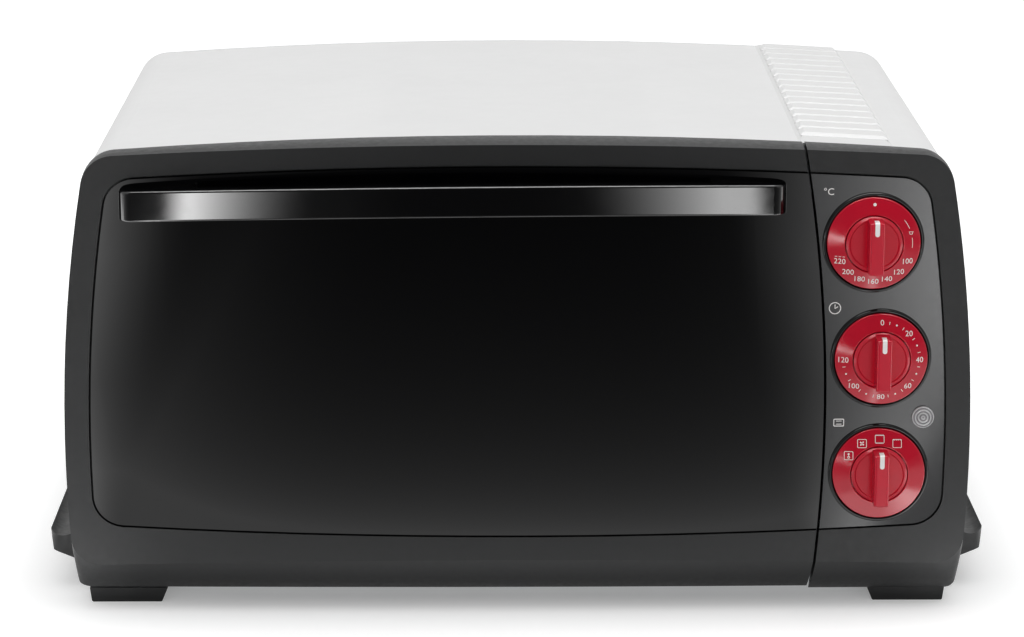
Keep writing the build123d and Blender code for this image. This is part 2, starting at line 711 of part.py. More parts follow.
def make_door_handle():
    """Bowed bar with a solid block at each end and a finger gap between them."""
    rear = -FRONT_DEPTH + OVERSIZE / 2
    front = handle_arc(0, HANDLE_LEFT, HANDLE_RIGHT)
    plan = make_face([front, Polyline(front @ 1, (HANDLE_RIGHT, rear), (HANDLE_LEFT, rear), front @ 0)])
    corners = plan.vertices().sort_by(Axis.Y)[:2]
    plan = fillet(corners, HANDLE_END_RADIUS)
    gap_left = HANDLE_LEFT + HANDLE_LEFT_BLOCK
    gap_right = HANDLE_RIGHT - HANDLE_RIGHT_BLOCK
    back = handle_arc(HANDLE_THICKNESS, gap_left, gap_right)
    gap = make_face([back, Polyline(back @ 1, (gap_right, rear), (gap_left, rear), back @ 0)])
    gap = fillet(gap.vertices().sort_by(Axis.Y)[:2], HANDLE_GAP_RADIUS)
    bar = solid_xy(plan - gap, SKIRT_BOTTOM, FRONT_TOP)
    reach = -HANDLE_LEFT + OVERSIZE
    top = HANDLE_TOP
    low = HANDLE_TOP - HANDLE_HEIGHT
    drop = arch_drop(HANDLE_CROWN, reach)
    band = make_face(
        [
            ThreePointArc((-reach, top - drop), (0, top), (reach, top - drop)),
            Line((reach, top - drop), (reach, low - drop)),
            ThreePointArc((reach, low - drop), (0, low), (-reach, low - drop)),
            Line((-reach, low - drop), (-reach, top - drop)),
        ]
    )
    bar &= solid_xz(band, -HANDLE_REACH - OVERSIZE, OVERSIZE)
    bar -= bowed_slab(0, FRONT_DEPTH + OVERSIZE)
    edges = [e for e in bar.edges() if on_handle_front(e)]
    bar = fillet(edges, HANDLE_TOP_EDGE)
    for x, z in handle_screw_places():
        bar -= rod_y(x, z, HANDLE_SCREW_RADIUS + RUNNING_FIT, front_y(x) - HANDLE_SCREW_BITE, OVERSIZE)
    return bar


def on_handle_front(edge):
    """Whether an edge runs along the handle's bowed front face, above or below."""
    middle = edge @ 0.5
    front = arch_drop(HANDLE_BOW_RADIUS, middle.X - HANDLE_MIDDLE_X) - HANDLE_REACH
    return edge.length > HANDLE_HEIGHT * 2 and abs(middle.Y - front) < SLIP


def make_handle_screws():
    """Two screws from the back of the door frame into the handle's end blocks."""
    group = []
    for x, z in handle_screw_places():
        shank = rod_y(x, z, HANDLE_SCREW_RADIUS, front_y(x) - HANDLE_SCREW_BITE + SLIP, RECESS_FLOOR)
        head = rod_y(x, z, HANDLE_SCREW_HEAD, RECESS_FLOOR, RECESS_FLOOR + SCREW_HEAD_HEIGHT)
        group.append(shank + head)
    return Compound(children=group)


def make_hinge_pins():
    """Two pins held in the door frame, running in the hinge brackets."""
    half = PIN_LENGTH / 2 - SLIP
    return Compound(
        children=[
            rod_x(HINGE_Y, HINGE_Z, PIN_RADIUS, x - half, x + half)
            for x in (HINGE_LEFT_X, HINGE_RIGHT_X)
        ]
    )


def make_hinge_springs():
    """Two short torsion springs round the hinge pins, beside the brackets."""
    group = []
    for x in (HINGE_LEFT_X, HINGE_RIGHT_X):
        start = x + BRACKET_SHEET / 2 + SPRING_WIRE + SLIP
        path = Helix(SPRING_PITCH, SPRING_PITCH * SPRING_TURNS, SPRING_RADIUS)
        section = Plane(origin=path @ 0, z_dir=path % 0) * Circle(SPRING_WIRE)
        coil = sweep(section, path, is_frenet=True)
        group.append(Pos(start, HINGE_Y, HINGE_Z) * Rot(0, 90, 0) * coil)
    return Compound(children=group)


def hinge_bracket(x, outward):
    """Steel eye on an arm that hangs from the front frame into the door's hollow."""
    half = BRACKET_SHEET / 2
    eye = rod_x(HINGE_Y, HINGE_Z, BRACKET_EYE, x - half, x + half)
    width = BRACKET_EYE - BRACKET_SHEET / 2
    arm = block(x - half, x + half, HINGE_Y - width, HINGE_Y + width, HINGE_Z, BRACKET_TOP)
    tab = block(x - half, x + half, HINGE_Y, 0, BRACKET_TOP - BRACKET_TAB, BRACKET_TOP)
    x0, x1 = sorted((x - outward * half, x + outward * BRACKET_FLANGE))
    flange = block(x0, x1, -FRAME_SHEET, 0, BRACKET_TOP - BRACKET_TAB, BRACKET_TOP)
    hole = rod_x(HINGE_Y, HINGE_Z, PIN_RADIUS + RUNNING_FIT, x - OVERSIZE, x + OVERSIZE)
    return eye + arm + tab + flange - hole


def make_hinge_brackets():
    """One bracket for each hinge, its flange turned outwards."""
    return Compound(children=[hinge_bracket(HINGE_LEFT_X, -1), hinge_bracket(HINGE_RIGHT_X, 1)])


def make_stay_arm():
    """Curved stay on the door that slides through a slot in the front frame."""
    outer = STAY_INNER + STAY_WIDTH
    start = radians(STAY_TAIL_ANGLE)
    middle = radians((90 + STAY_TAIL_ANGLE) / 2)

    def at(radius, angle):
        return (HINGE_Y + radius * cos(angle), HINGE_Z + radius * sin(angle))

    sector = make_face(
        [
            ThreePointArc(at(outer, start), at(outer, middle), (HINGE_Y, HINGE_Z + outer)),
            Line((HINGE_Y, HINGE_Z + outer), (HINGE_Y, HINGE_Z + STAY_INNER)),
            ThreePointArc((HINGE_Y, HINGE_Z + STAY_INNER), at(STAY_INNER, middle), at(STAY_INNER, start)),
            Line(at(STAY_INNER, start), at(outer, start)),
        ]
    )
    half = STAY_SHEET / 2
    arm = solid_yz(sector, STAY_X - half, STAY_X + half)
    foot_middle = HINGE_Z + STAY_INNER + STAY_WIDTH / 2
    foot = block(
        STAY_X - STAY_FOOT_WIDTH / 2,
        STAY_X + STAY_FOOT_WIDTH / 2,
        RECESS_FLOOR,
        HINGE_Y + FRAME_SHEET,
        foot_middle - STAY_FOOT_HEIGHT / 2,
        foot_middle + STAY_FOOT_HEIGHT / 2,
    )
    return arm + foot


def casing_side_x(z):
    """Half width of the casing at a height."""
    return CASING_HALF_WIDTH - arch_drop(SIDE_BOW_RADIUS, z - WIDEST_Z)


def crown_z(x, top):
    """Height of the crowned top at a distance x from the middle."""
    return top - arch_drop(CROWN_RADIUS, x)


def casing_ring(outer, inner, y0, y1):
    """Band between two casing outlines, cut off at the casing's lower edge."""
    band = solid_xz(casing_outline(outer) - casing_outline(inner), y0, y1)
    reach = 2 * FRONT_HALF_WIDTH
    return band - block(-reach, reach, y0 - OVERCUT, y1 + OVERCUT, -OVERSIZE, CASING_SOLE_Z)


def rear_screw_places():
    """X and Z of the screws through the rear flange."""
    middle = SHEET / 2 + REAR_FLANGE / 2
    low = SCREW_FOOT_MARGIN
    high = FRONT_TOP - SCREW_TOP_MARGIN
    levels = (low, (low + high) / 2, high)
    spread = FRONT_HALF_WIDTH / 2
    sides = [(side * (casing_side_x(z) - middle), z) for z in levels for side in (-1, 1)]
    top = [(x, crown_z(x, CASING_TOP) - middle) for x in (-spread, 0, spread)]
    return sides + top


def pad_prism(inset, y0, y1):
    """Upright prism of the pad, its sides sloping in towards the top."""
    left = PAD_LEFT + inset
    right = PAD_RIGHT - inset
    left_z = crown_z(PAD_LEFT, CASING_TOP)
    right_z = crown_z(PAD_RIGHT, CASING_TOP)
    profile = face_of(
        [
            (left, WIDEST_Z),
            (left, left_z),
            (left + 2 * PAD_SLOPE, left_z + 2 * PAD_RISE),
            (right - 2 * PAD_SLOPE, right_z + 2 * PAD_RISE),
            (right, right_z),
            (right, WIDEST_Z),
        ]
    )
    return solid_xz(profile, y0, y1)


def pad_place(y, rise):
    """Place on the middle line of the pad, tilted like the crowned top."""
    middle = (PAD_LEFT + PAD_RIGHT) / 2
    tilt = degrees(asin(middle / CROWN_RADIUS))
    return Pos(middle, y, crown_z(middle, CASING_TOP + rise)) * Rot(0, tilt, 0)


def pad_trim(drop):
    """What is cut off the pad, so that it runs out in a slope at its front and back ends."""
    high = PAD_RISE + OVERSIZE
    front = face_of([(-OVERCUT, 0), (0, 0), (PAD_RAMP, PAD_RISE), (PAD_RAMP, high), (-OVERCUT, high)])
    wedge = solid_yz(front, -PAD_WIDTH, PAD_WIDTH)
    return pad_place(0, -drop) * wedge + pad_place(CASING_DEPTH, -drop) * mirror(wedge, Plane.XZ)


def louvre_hood():
    """One louvre: a steep lip in front, a gentle rise behind it, and sloping ends."""
    half = PAD_WIDTH / 2 - LOUVRE_SIDE_MARGIN
    side = face_of(
        [
            (0, -LOUVRE_ROOT),
            (0, 0),
            (LOUVRE_LIP_RUN, LOUVRE_LIP_RISE),
            (LOUVRE_RUN, LOUVRE_RISE),
            (LOUVRE_RUN, -LOUVRE_ROOT),
        ]
    )
    across = face_of(
        [
            (-half, -LOUVRE_ROOT),
            (-half, 0),
            (LOUVRE_END_SLOPE - half, LOUVRE_RISE),
            (half - LOUVRE_END_SLOPE, LOUVRE_RISE),
            (half, 0),
            (half, -LOUVRE_ROOT),
        ]
    )
    return solid_yz(side, -half, half) & solid_xz(across, -OVERCUT, LOUVRE_RUN + OVERCUT)


def louvre_hollow():
    """The room under one louvre, open towards the back."""
    half = PAD_WIDTH / 2 - LOUVRE_SIDE_MARGIN - LOUVRE_END_SLOPE
    slope = (LOUVRE_RISE - LOUVRE_LIP_RISE) / (LOUVRE_RUN - LOUVRE_LIP_RUN)
    throat = LOUVRE_RUN - LOUVRE_THROAT
    end = LOUVRE_RUN + SLIP
    cut = face_of(
        [
            (throat, -PAD_RISE - SHEET),
            (throat, LOUVRE_RISE - slope * LOUVRE_THROAT - SHEET),
            (end, LOUVRE_RISE - SHEET),
            (end, -PAD_RISE - SHEET),
        ]
    )
    return solid_yz(cut, -half, half)


def add_louvres(casing):
    """Row of louvres on the pad."""
    pitch = (CASING_DEPTH - 2 * LOUVRE_END_MARGIN) / LOUVRE_COUNT
    hood = louvre_hood()
    hollow = louvre_hollow()
    for number in range(LOUVRE_COUNT):
        place = pad_place(LOUVRE_END_MARGIN + pitch * number, PAD_RISE)
        casing = casing + place * hood - place * hollow
    return casing


def make_outer_casing():
    """Painted steel wrap: crowned top, bowed sides, flanges, and the raised pad with louvres."""
    casing = casing_ring(0, SHEET, 0, CASING_DEPTH)
    casing += casing_ring(SHEET / 2, SHEET / 2 + REAR_FLANGE, CASING_DEPTH - SHEET, CASING_DEPTH)
    sole_x = casing_side_x(CASING_SOLE_Z) - SHEET / 2
    for side in (-1, 1):
        x0, x1 = sorted((side * sole_x, side * (sole_x - SOLE_FLANGE)))
        y0 = APRON_FRONT + FRAME_SHEET
        casing += block(x0, x1, y0, CASING_DEPTH, CASING_SOLE_Z, CASING_SOLE_Z + SHEET)
    end = CASING_DEPTH - REAR_FLANGE
    outer = casing_ring(-PAD_RISE, SHEET, 0, CASING_DEPTH) & pad_prism(0, 0, CASING_DEPTH)
    inner = casing_ring(SHEET - PAD_RISE, SHEET + OVERSIZE / 4, PAD_RAMP / 2, end)
    inner &= pad_prism(SHEET, 0, CASING_DEPTH)
    casing = casing + (outer - pad_trim(0)) - (inner - pad_trim(SHEET))
    casing = add_louvres(casing)
    for x, z in rear_screw_places():
        casing -= rod_y(x, z, REAR_SCREW_RADIUS + SLIP, CASING_DEPTH - OVERSIZE, CASING_DEPTH + OVERSIZE)
    return casing - block(-2 * FRONT_HALF_WIDTH, SPLIT_BOTTOM_X, -OVERCUT, APRON_FRONT, 0, SILL_Z)


def make_rear_cover():
    """Rear sheet with a hollow bulge over the fan motor, vent slots and the gland hole."""
    y0 = CASING_DEPTH
    y1 = y0 + COVER_SHEET
    reach = 2 * FRONT_HALF_WIDTH
    plate = solid_xz(casing_outline(0), y0, y1)
    plate -= block(-reach, reach, y0 - OVERCUT, y1 + OVERCUT, -OVERSIZE, SKIRT_BOTTOM)
    outer = Pos(FAN_X, FAN_Z) * RectangleRounded(BULGE_WIDTH, BULGE_HEIGHT, BULGE_CORNER)
    inner = offset(outer, -COVER_SHEET)
    cover = plate + solid_xz(outer, y0, y1 + BULGE_DEPTH) - solid_xz(inner, y0 - OVERCUT, y0 + BULGE_DEPTH)
    first = FAN_X - BULGE_SLOT_PITCH * (BULGE_SLOT_COUNT - 1) / 2
    for number in range(BULGE_SLOT_COUNT):
        x = first + BULGE_SLOT_PITCH * number
        slot = Pos(x, FAN_Z) * SlotOverall(BULGE_SLOT_LENGTH, BULGE_SLOT_WIDTH, rotation=90)
        cover -= solid_xz(slot, y0, y0 + 2 * BULGE_DEPTH)
    for x, z in rear_screw_places():
        cover -= rod_y(x, z, REAR_SCREW_RADIUS + SLIP, y0 - OVERCUT, y1 + OVERCUT)
    return cover - rod_y(GLAND_X, GLAND_Z, GLAND_NECK + SLIP, y0 - OVERCUT, y1 + OVERCUT)


def make_rear_screws():
    """Pan head screws through the rear cover into the casing's flange."""
    seat = CASING_DEPTH + COVER_SHEET
    group = []
    for x, z in rear_screw_places():
        shank = rod_y(x, z, REAR_SCREW_RADIUS, seat - SCREW_GRIP, seat)
        head = rod_y(x, z, SCREW_HEAD_RADIUS, seat, seat + SCREW_HEAD_HEIGHT)
        group.append(shank + head)
    return Compound(children=group)


def foot_places():
    """Middle of each foot in X and Y, front pair first."""
    x = FOOT_OUTER - FOOT_WIDTH / 2
    front = FRONT_FOOT_Y + FOOT_LENGTH / 2
    rear = CASING_DEPTH - REAR_FOOT_INSET - FOOT_LENGTH / 2
    return {
        "front_foot_left": (-x, front),
        "front_foot_right": (x, front),
        "rear_foot_left": (-x, rear),
        "rear_foot_right": (x, rear),
    }


def make_base_pan():
    """Steel floor with raised side flanges, vent slots and the holes for the foot screws."""
    y0 = APRON_FRONT
    pan = block(-BASE_HALF_WIDTH, BASE_HALF_WIDTH, y0, CASING_DEPTH, SKIRT_BOTTOM, BASE_TOP)
    outer = BASE_HALF_WIDTH - BASE_FLANGE_INSET
    for side in (-1, 1):
        x0, x1 = sorted((side * outer, side * (outer - BASE_SHEET)))
        pan += block(x0, x1, y0 + FRAME_SHEET, CASING_DEPTH, BASE_TOP, CASING_SOLE_Z)
    first = -BASE_SLOT_PITCH * (BASE_SLOT_COUNT - 1) / 2
    for row in (CASING_DEPTH / 2 - BASE_SLOT_ROW_SPREAD, CASING_DEPTH / 2 + BASE_SLOT_ROW_SPREAD):
        for number in range(BASE_SLOT_COUNT):
            place = Pos(first + BASE_SLOT_PITCH * number, row)
            slot = place * SlotOverall(BASE_SLOT_LENGTH, BASE_SLOT_WIDTH, rotation=90)
            pan -= solid_xy(slot, SKIRT_BOTTOM - OVERCUT, BASE_TOP + OVERCUT)
    for x, y in foot_places().values():
        pan -= rod_z(x, y, FOOT_SCREW_RADIUS + SLIP, 0, BASE_TOP + OVERCUT)
    return pan


def make_foot(x, y):
    """Moulded foot, slanted on its inner side, with a recess for its screw."""
    side = 1 if x > 0 else -1
    outer = side * FOOT_OUTER
    inner = side * (FOOT_OUTER - FOOT_WIDTH)
    slant = side * FOOT_TAPER
    corners = [(outer, FOOT_HEIGHT), (outer - slant / 3, 0), (inner + slant, 0), (inner, FOOT_HEIGHT)]
    profile = face_of(corners)
    foot = solid_xz(profile, y - FOOT_LENGTH / 2, y + FOOT_LENGTH / 2)
    foot = fillet(foot.edges().filter_by(Axis.Y).sort_by(Axis.Z)[:2], FOOT_EDGE)
    foot -= rod_z(x, y, SCREW_HEAD_RADIUS + SLIP, -OVERCUT, FOOT_SCREW_RECESS)
    return foot - rod_z(x, y, FOOT_SCREW_RADIUS + SLIP, 0, FOOT_HEIGHT + OVERCUT)


def make_foot_screws():
    """One screw up through each foot into the base pan."""
    group = []
    for x, y in foot_places().values():
        head = rod_z(x, y, SCREW_HEAD_RADIUS, FOOT_SCREW_RECESS - SCREW_HEAD_HEIGHT, FOOT_SCREW_RECESS)
        shank = rod_z(x, y, FOOT_SCREW_RADIUS, FOOT_SCREW_RECESS, BASE_TOP + SCREW_HEAD_HEIGHT)
        group.append(head + shank)
    return Compound(children=group)


def make_side_grip(side):
    """Moulded grip along the lower side, dished on top, seated on the casing's side."""
    root = CASING_HALF_WIDTH - OVERSIZE / 2
    middle = (GRIP_REACH + CASING_HALF_WIDTH) / 2
    profile = make_face(
        [
            Polyline(
                (GRIP_REACH, GRIP_TOP),
                (GRIP_REACH - GRIP_TIP_SLOPE, GRIP_TOP - GRIP_TIP_HEIGHT),
                (BASE_HALF_WIDTH, GRIP_ROOT_BOTTOM),
                (root, GRIP_ROOT_BOTTOM),
                (root, GRIP_ROOT_TOP),
                (CASING_HALF_WIDTH, GRIP_ROOT_TOP),
            ),
            ThreePointArc(
                (CASING_HALF_WIDTH, GRIP_ROOT_TOP), (middle, GRIP_TOP - GRIP_DISH), (GRIP_REACH, GRIP_TOP)
            ),
        ]
    )
    end = GRIP_START + GRIP_LENGTH
    grip = solid_xz(profile, GRIP_START, end)
    plan = Pos(0, (GRIP_START + end) / 2) * RectangleRounded(2 * GRIP_REACH, GRIP_LENGTH, GRIP_END_RADIUS)
    grip &= solid_xy(plan, 0, GRIP_ROOT_TOP + OVERSIZE)
    grip -= solid_xz(casing_outline(0), GRIP_START - OVERCUT, end + OVERCUT)
    return grip if side > 0 else mirror(grip, Plane.YZ)


def make_front_frame():
    """Steel plate round the cavity mouth, with a sill and an apron set back for the door's heel."""
    reach = 2 * FRONT_HALF_WIDTH
    plate = solid_xz(casing_outline(SHEET + SLIP), 0, FRAME_SHEET)
    plate -= block(-reach, reach, -OVERCUT, FRAME_SHEET + OVERCUT, -OVERSIZE, SILL_Z)
    plate -= solid_xz(mouth_sketch(0), -OVERCUT, FRAME_SHEET + OVERCUT)
    control = panel(CONTROL_LEFT, CONTROL_RIGHT, CONTROL_BOTTOM, CONTROL_TOP, CAVITY_CORNER)
    plate -= solid_xz(control, -OVERCUT, FRAME_SHEET + OVERCUT)
    half = casing_side_x(CASING_SOLE_Z) - SHEET - SLIP
    back = APRON_FRONT + FRAME_SHEET
    plate += block(-half, half, 0, back, SILL_Z, SILL_Z + FRAME_SHEET)
    plate += block(-half, half, APRON_FRONT, back, BASE_TOP, SILL_Z + FRAME_SHEET)
    play = STAY_SHEET / 2 + STAY_SLOT_PLAY
    low = HINGE_Z + sqrt(STAY_INNER**2 - (FRAME_SHEET - HINGE_Y) ** 2) - STAY_SLOT_PLAY
    high = HINGE_Z + STAY_INNER + STAY_WIDTH + STAY_SLOT_PLAY
    return plate - block(STAY_X - play, STAY_X + play, -OVERCUT, FRAME_SHEET + OVERCUT, low, high)


def guide_z(level):
    """Top of the guides at a level above the cavity floor."""
    return CAVITY_FLOOR + level + GUIDE_THICKNESS


def element_z(upper):
    """Height of a heating element's middle."""
    return CAVITY_TOP - UPPER_ELEMENT_DROP if upper else CAVITY_FLOOR + LOWER_ELEMENT_RISE


def element_ends():
    """Y and Z of the four places where the elements pass through the cavity's right wall."""
    rows = (ELEMENT_FRONT, ELEMENT_FRONT + ELEMENT_SPREAD)
    return [(y, element_z(upper)) for upper in (True, False) for y in rows]


def bulb_place():
    """X and Z of the thermostat's bulb."""
    return CAVITY_RIGHT - BULB_WALL_GAP - BULB_RADIUS, CAVITY_TOP - BULB_Z_DROP


def capillary_exit_y():
    """Y where the capillary passes through the cavity wall."""
    return BULB_Y - BULB_LENGTH / 2 - CAPILLARY_LEAD


def make_cavity_liner():
    """Enamelled sleeve of the cavity, open in front, with two pairs of guides."""
    liner = solid_xz(mouth_sketch(SHEET), LINER_FRONT, LINER_REAR)
    liner -= solid_xz(mouth_sketch(0), LINER_FRONT - OVERCUT, LINER_REAR + OVERCUT)
    for level in (RACK_LEVEL, TRAY_LEVEL):
        top = guide_z(level)
        for x0 in (CAVITY_LEFT - SHEET / 2, CAVITY_RIGHT - GUIDE_WIDTH):
            x1 = x0 + GUIDE_WIDTH + SHEET / 2
            liner += block(x0, x1, GUIDE_START, LINER_REAR - GUIDE_END_MARGIN, top - GUIDE_THICKNESS, top)
    x0 = CAVITY_RIGHT - OVERCUT
    x1 = CAVITY_RIGHT + SHEET + OVERCUT
    for y, z in element_ends():
        liner -= rod_x(y, z, ELEMENT_RADIUS + ELEMENT_HOLE_GAP, x0, x1)
    z = bulb_place()[1]
    hole = CAPILLARY_RADIUS + ELEMENT_HOLE_GAP / 2
    return liner - rod_x(capillary_exit_y(), z, hole, x0, x1)


def make_cavity_rear_wall():
    """Rear wall of the cavity, standing on the base pan, with the fan's vent ring."""
    y1 = LINER_REAR + SHEET
    wall = block(CAVITY_LEFT - SHEET, CAVITY_RIGHT + SHEET, LINER_REAR, y1, BASE_TOP, CAVITY_TOP + SHEET)
    wall -= rod_y(FAN_X, FAN_Z, FAN_SHAFT_RADIUS + FREE_GAP, LINER_REAR - OVERCUT, y1 + OVERCUT)
    for number in range(WALL_VENT_COUNT):
        angle = radians(360 / WALL_VENT_COUNT * (number + 0.5))
        x = FAN_X + WALL_VENT_RING * cos(angle)
        z = FAN_Z + WALL_VENT_RING * sin(angle)
        wall -= rod_y(x, z, WALL_VENT_RADIUS, LINER_REAR - OVERCUT, y1 + OVERCUT)
    return wall


def make_element(upper):
    """Tubular heating element: one loop in a level plane, with a terminal at each end."""
    z = element_z(upper)
    x0 = CAVITY_LEFT + ELEMENT_LEFT_MARGIN
    x1 = CAVITY_RIGHT + SHEET + ELEMENT_TAIL
    y0 = ELEMENT_FRONT
    y1 = ELEMENT_FRONT + ELEMENT_SPREAD
    path = FilletPolyline((x1, y0, z), (x0, y0, z), (x0, y1, z), (x1, y1, z), radius=ELEMENT_BEND)
    tube = sweep(Plane(origin=(x1, y0, z), z_dir=(-1, 0, 0)) * Circle(ELEMENT_RADIUS), path)
    for y in (y0, y1):
        tube += rod_x(y, z, TERMINAL_RADIUS, x1 - OVERCUT, x1 + TERMINAL_LENGTH)
    return tube


def make_element_insulators():
    """Ceramic bushes where the elements leave the cavity."""
    x0 = CAVITY_RIGHT + SHEET
    x1 = x0 + INSULATOR_LENGTH
    group = []
    for y, z in element_ends():
        hole = rod_x(y, z, ELEMENT_RADIUS + SLIP, x0 - OVERCUT, x1 + OVERCUT)
        group.append(rod_x(y, z, INSULATOR_RADIUS, x0, x1) - hole)
    return Compound(children=group)


def make_cavity_clips():
    """Strip clips: one from the left wall round each element's bend, two for the bulb."""
    group = []
    middle = ELEMENT_FRONT + ELEMENT_SPREAD / 2
    x = CAVITY_LEFT + ELEMENT_LEFT_MARGIN
    for upper in (True, False):
        z = element_z(upper)
        outer = ELEMENT_RADIUS + SLIP + CLIP_SHEET
        eye = rod_y(x, z, outer, middle - CLIP_WIDTH / 2, middle + CLIP_WIDTH / 2)
        y0 = middle - CLIP_WIDTH / 2
        y1 = middle + CLIP_WIDTH / 2
        arm = block(CAVITY_LEFT, x, y0, y1, z - CLIP_SHEET / 2, z + CLIP_SHEET / 2)
        group.append(eye + arm - rod_y(x, z, ELEMENT_RADIUS + SLIP, y0 - OVERCUT, y1 + OVERCUT))
    x, z = bulb_place()
    for y in (BULB_Y - BULB_LENGTH / 4, BULB_Y + BULB_LENGTH / 4):
        y0 = y - CLIP_WIDTH / 2
        y1 = y + CLIP_WIDTH / 2
        eye = rod_y(x, z, BULB_RADIUS + SLIP + CLIP_SHEET, y0, y1)
        arm = block(x, CAVITY_RIGHT, y0, y1, z - CLIP_SHEET / 2, z + CLIP_SHEET / 2)
        group.append(eye + arm - rod_y(x, z, BULB_RADIUS + SLIP, y0 - OVERCUT, y1 + OVERCUT))
    return Compound(children=group)


def make_thermostat_bulb():
    """Sensing bulb in the cavity and the capillary that runs to the thermostat."""
    x, z = bulb_place()
    bulb_front = BULB_Y - BULB_LENGTH / 2
    bulb = rod_y(x, z, BULB_RADIUS, bulb_front, bulb_front + BULB_LENGTH)
    out = CAVITY_RIGHT + CAPILLARY_OUT
    turn = capillary_exit_y()
    end = BRACKET_REAR + BODY_DEPTH["thermostat"]
    path = FilletPolyline(
        (x, bulb_front, z),
        (x, turn, z),
        (out, turn, z),
        (out, end, z),
        radius=CAPILLARY_BEND,
    )
    section = Plane(origin=(x, bulb_front, z), z_dir=(0, -1, 0)) * Circle(CAPILLARY_RADIUS)
    return bulb + sweep(section, path)


def make_fan_guard():
    """Pressed cup over the fan, with radial slots and a lip against the rear wall."""
    front = LINER_REAR - GUARD_DEPTH
    profile = Polyline(
        (0, front),
        (GUARD_RADIUS, front),
        (GUARD_RADIUS, LINER_REAR - GUARD_SHEET),
        (GUARD_RADIUS + GUARD_LIP, LINER_REAR - GUARD_SHEET),
        (GUARD_RADIUS + GUARD_LIP, LINER_REAR),
        (GUARD_RADIUS - GUARD_SHEET, LINER_REAR),
        (GUARD_RADIUS - GUARD_SHEET, front + GUARD_SHEET),
        (0, front + GUARD_SHEET),
        close=True,
    )
    guard = turned_y(make_face(profile), FAN_X, FAN_Z)
    slot_middle = GUARD_SLOT_START + GUARD_SLOT_LENGTH / 2
    for number in range(GUARD_SLOT_COUNT):
        slot = Rot(0, 0, 360 / GUARD_SLOT_COUNT * number) * Pos(slot_middle, 0) * SlotOverall(
            GUARD_SLOT_LENGTH, GUARD_SLOT_WIDTH
        )
        guard -= solid_xz(Pos(FAN_X, FAN_Z) * slot, front - OVERCUT, front + GUARD_SHEET + OVERCUT)
    return guard


def make_fan_blade():
    """Hub with flat blades set at a pitch."""
    middle = LINER_REAR - GUARD_DEPTH / 2
    hub_front = middle - FAN_HUB_LENGTH / 2
    hub = rod_y(0, 0, FAN_HUB_RADIUS, hub_front, hub_front + FAN_HUB_LENGTH)
    length = FAN_RADIUS - FAN_HUB_RADIUS + FAN_SHEET
    blade = Rot(FAN_BLADE_PITCH, 0, 0) * Box(length, FAN_SHEET, FAN_BLADE_WIDTH)
    blade = Pos(FAN_RADIUS - length / 2, 0, 0) * blade
    for number in range(FAN_BLADE_COUNT):
        hub += Pos(0, middle, 0) * Rot(0, 360 / FAN_BLADE_COUNT * number, 0) * blade
    hub -= rod_y(0, 0, FAN_SHAFT_RADIUS + SLIP / 2, hub_front - OVERCUT, hub_front + FAN_HUB_LENGTH + OVERCUT)
    return Pos(FAN_X, 0, FAN_Z) * hub


def motor_span():
    """Front and back of the motor's bearings."""
    front = LINER_REAR + SHEET + MOTOR_STANDOFF - MOTOR_BEARING_LENGTH
    return front, front + 2 * MOTOR_BEARING_LENGTH + MOTOR_STACK


def make_fan_shaft():
    """Shaft from the blade's hub through the rear wall and the motor."""
    front = LINER_REAR - GUARD_DEPTH / 2 - FAN_HUB_LENGTH / 2
    return rod_y(FAN_X, FAN_Z, FAN_SHAFT_RADIUS, front, motor_span()[1])


def make_fan_motor():
    """Motor stack with a bearing in front and behind, on four posts from the rear wall."""
    front, back = motor_span()
    y0 = front + MOTOR_BEARING_LENGTH
    y1 = y0 + MOTOR_STACK
    half_width = MOTOR_WIDTH / 2
    half_height = MOTOR_HEIGHT / 2
    stack = Pos(FAN_X, FAN_Z) * RectangleRounded(MOTOR_WIDTH, MOTOR_HEIGHT, MOTOR_POST_RADIUS)
    motor = solid_xz(stack, y0, y1) + rod_y(FAN_X, FAN_Z, MOTOR_BEARING_RADIUS, front, back)
    for side in (-1, 1):
        for level in (-1, 1):
            x = FAN_X + side * (half_width - 2 * MOTOR_POST_RADIUS)
            z = FAN_Z + level * (half_height - 2 * MOTOR_POST_RADIUS)
            motor += rod_y(x, z, MOTOR_POST_RADIUS, LINER_REAR + SHEET, y0 + OVERCUT)
    return motor - rod_y(FAN_X, FAN_Z, FAN_SHAFT_RADIUS + RUNNING_FIT, front - OVERCUT, back + OVERCUT)


def seat_y(name):
    """Flat seat of a dial ring, let into the panel frame."""
    return front_y(DIAL_X[name]) + DIAL_SEAT_DEPTH


def rim_y(name):
    """Front of a dial ring's outer rim."""
    return front_y(DIAL_X[name]) - DIAL_PROUD


def make_panel_frame(moulding):
    """Right part of the front moulding, with a seat for each dial and the lens hole."""
    frame = moulding & split_side(1)
    frame -= rear_hollow(1)
    for name, x in DIAL_X.items():
        z = DIAL_Z[name]
        frame -= rod_y(x, z, DIAL_RADIUS + SLIP, -FRONT_DEPTH - OVERSIZE, seat_y(name))
        frame -= rod_y(x, z, SHAFT_RADIUS + FREE_GAP, -FRONT_DEPTH, OVERSIZE)
    return frame - rod_y(LENS_X, LENS_Z, LENS_STEM_RADIUS + SLIP, -FRONT_DEPTH, OVERSIZE)


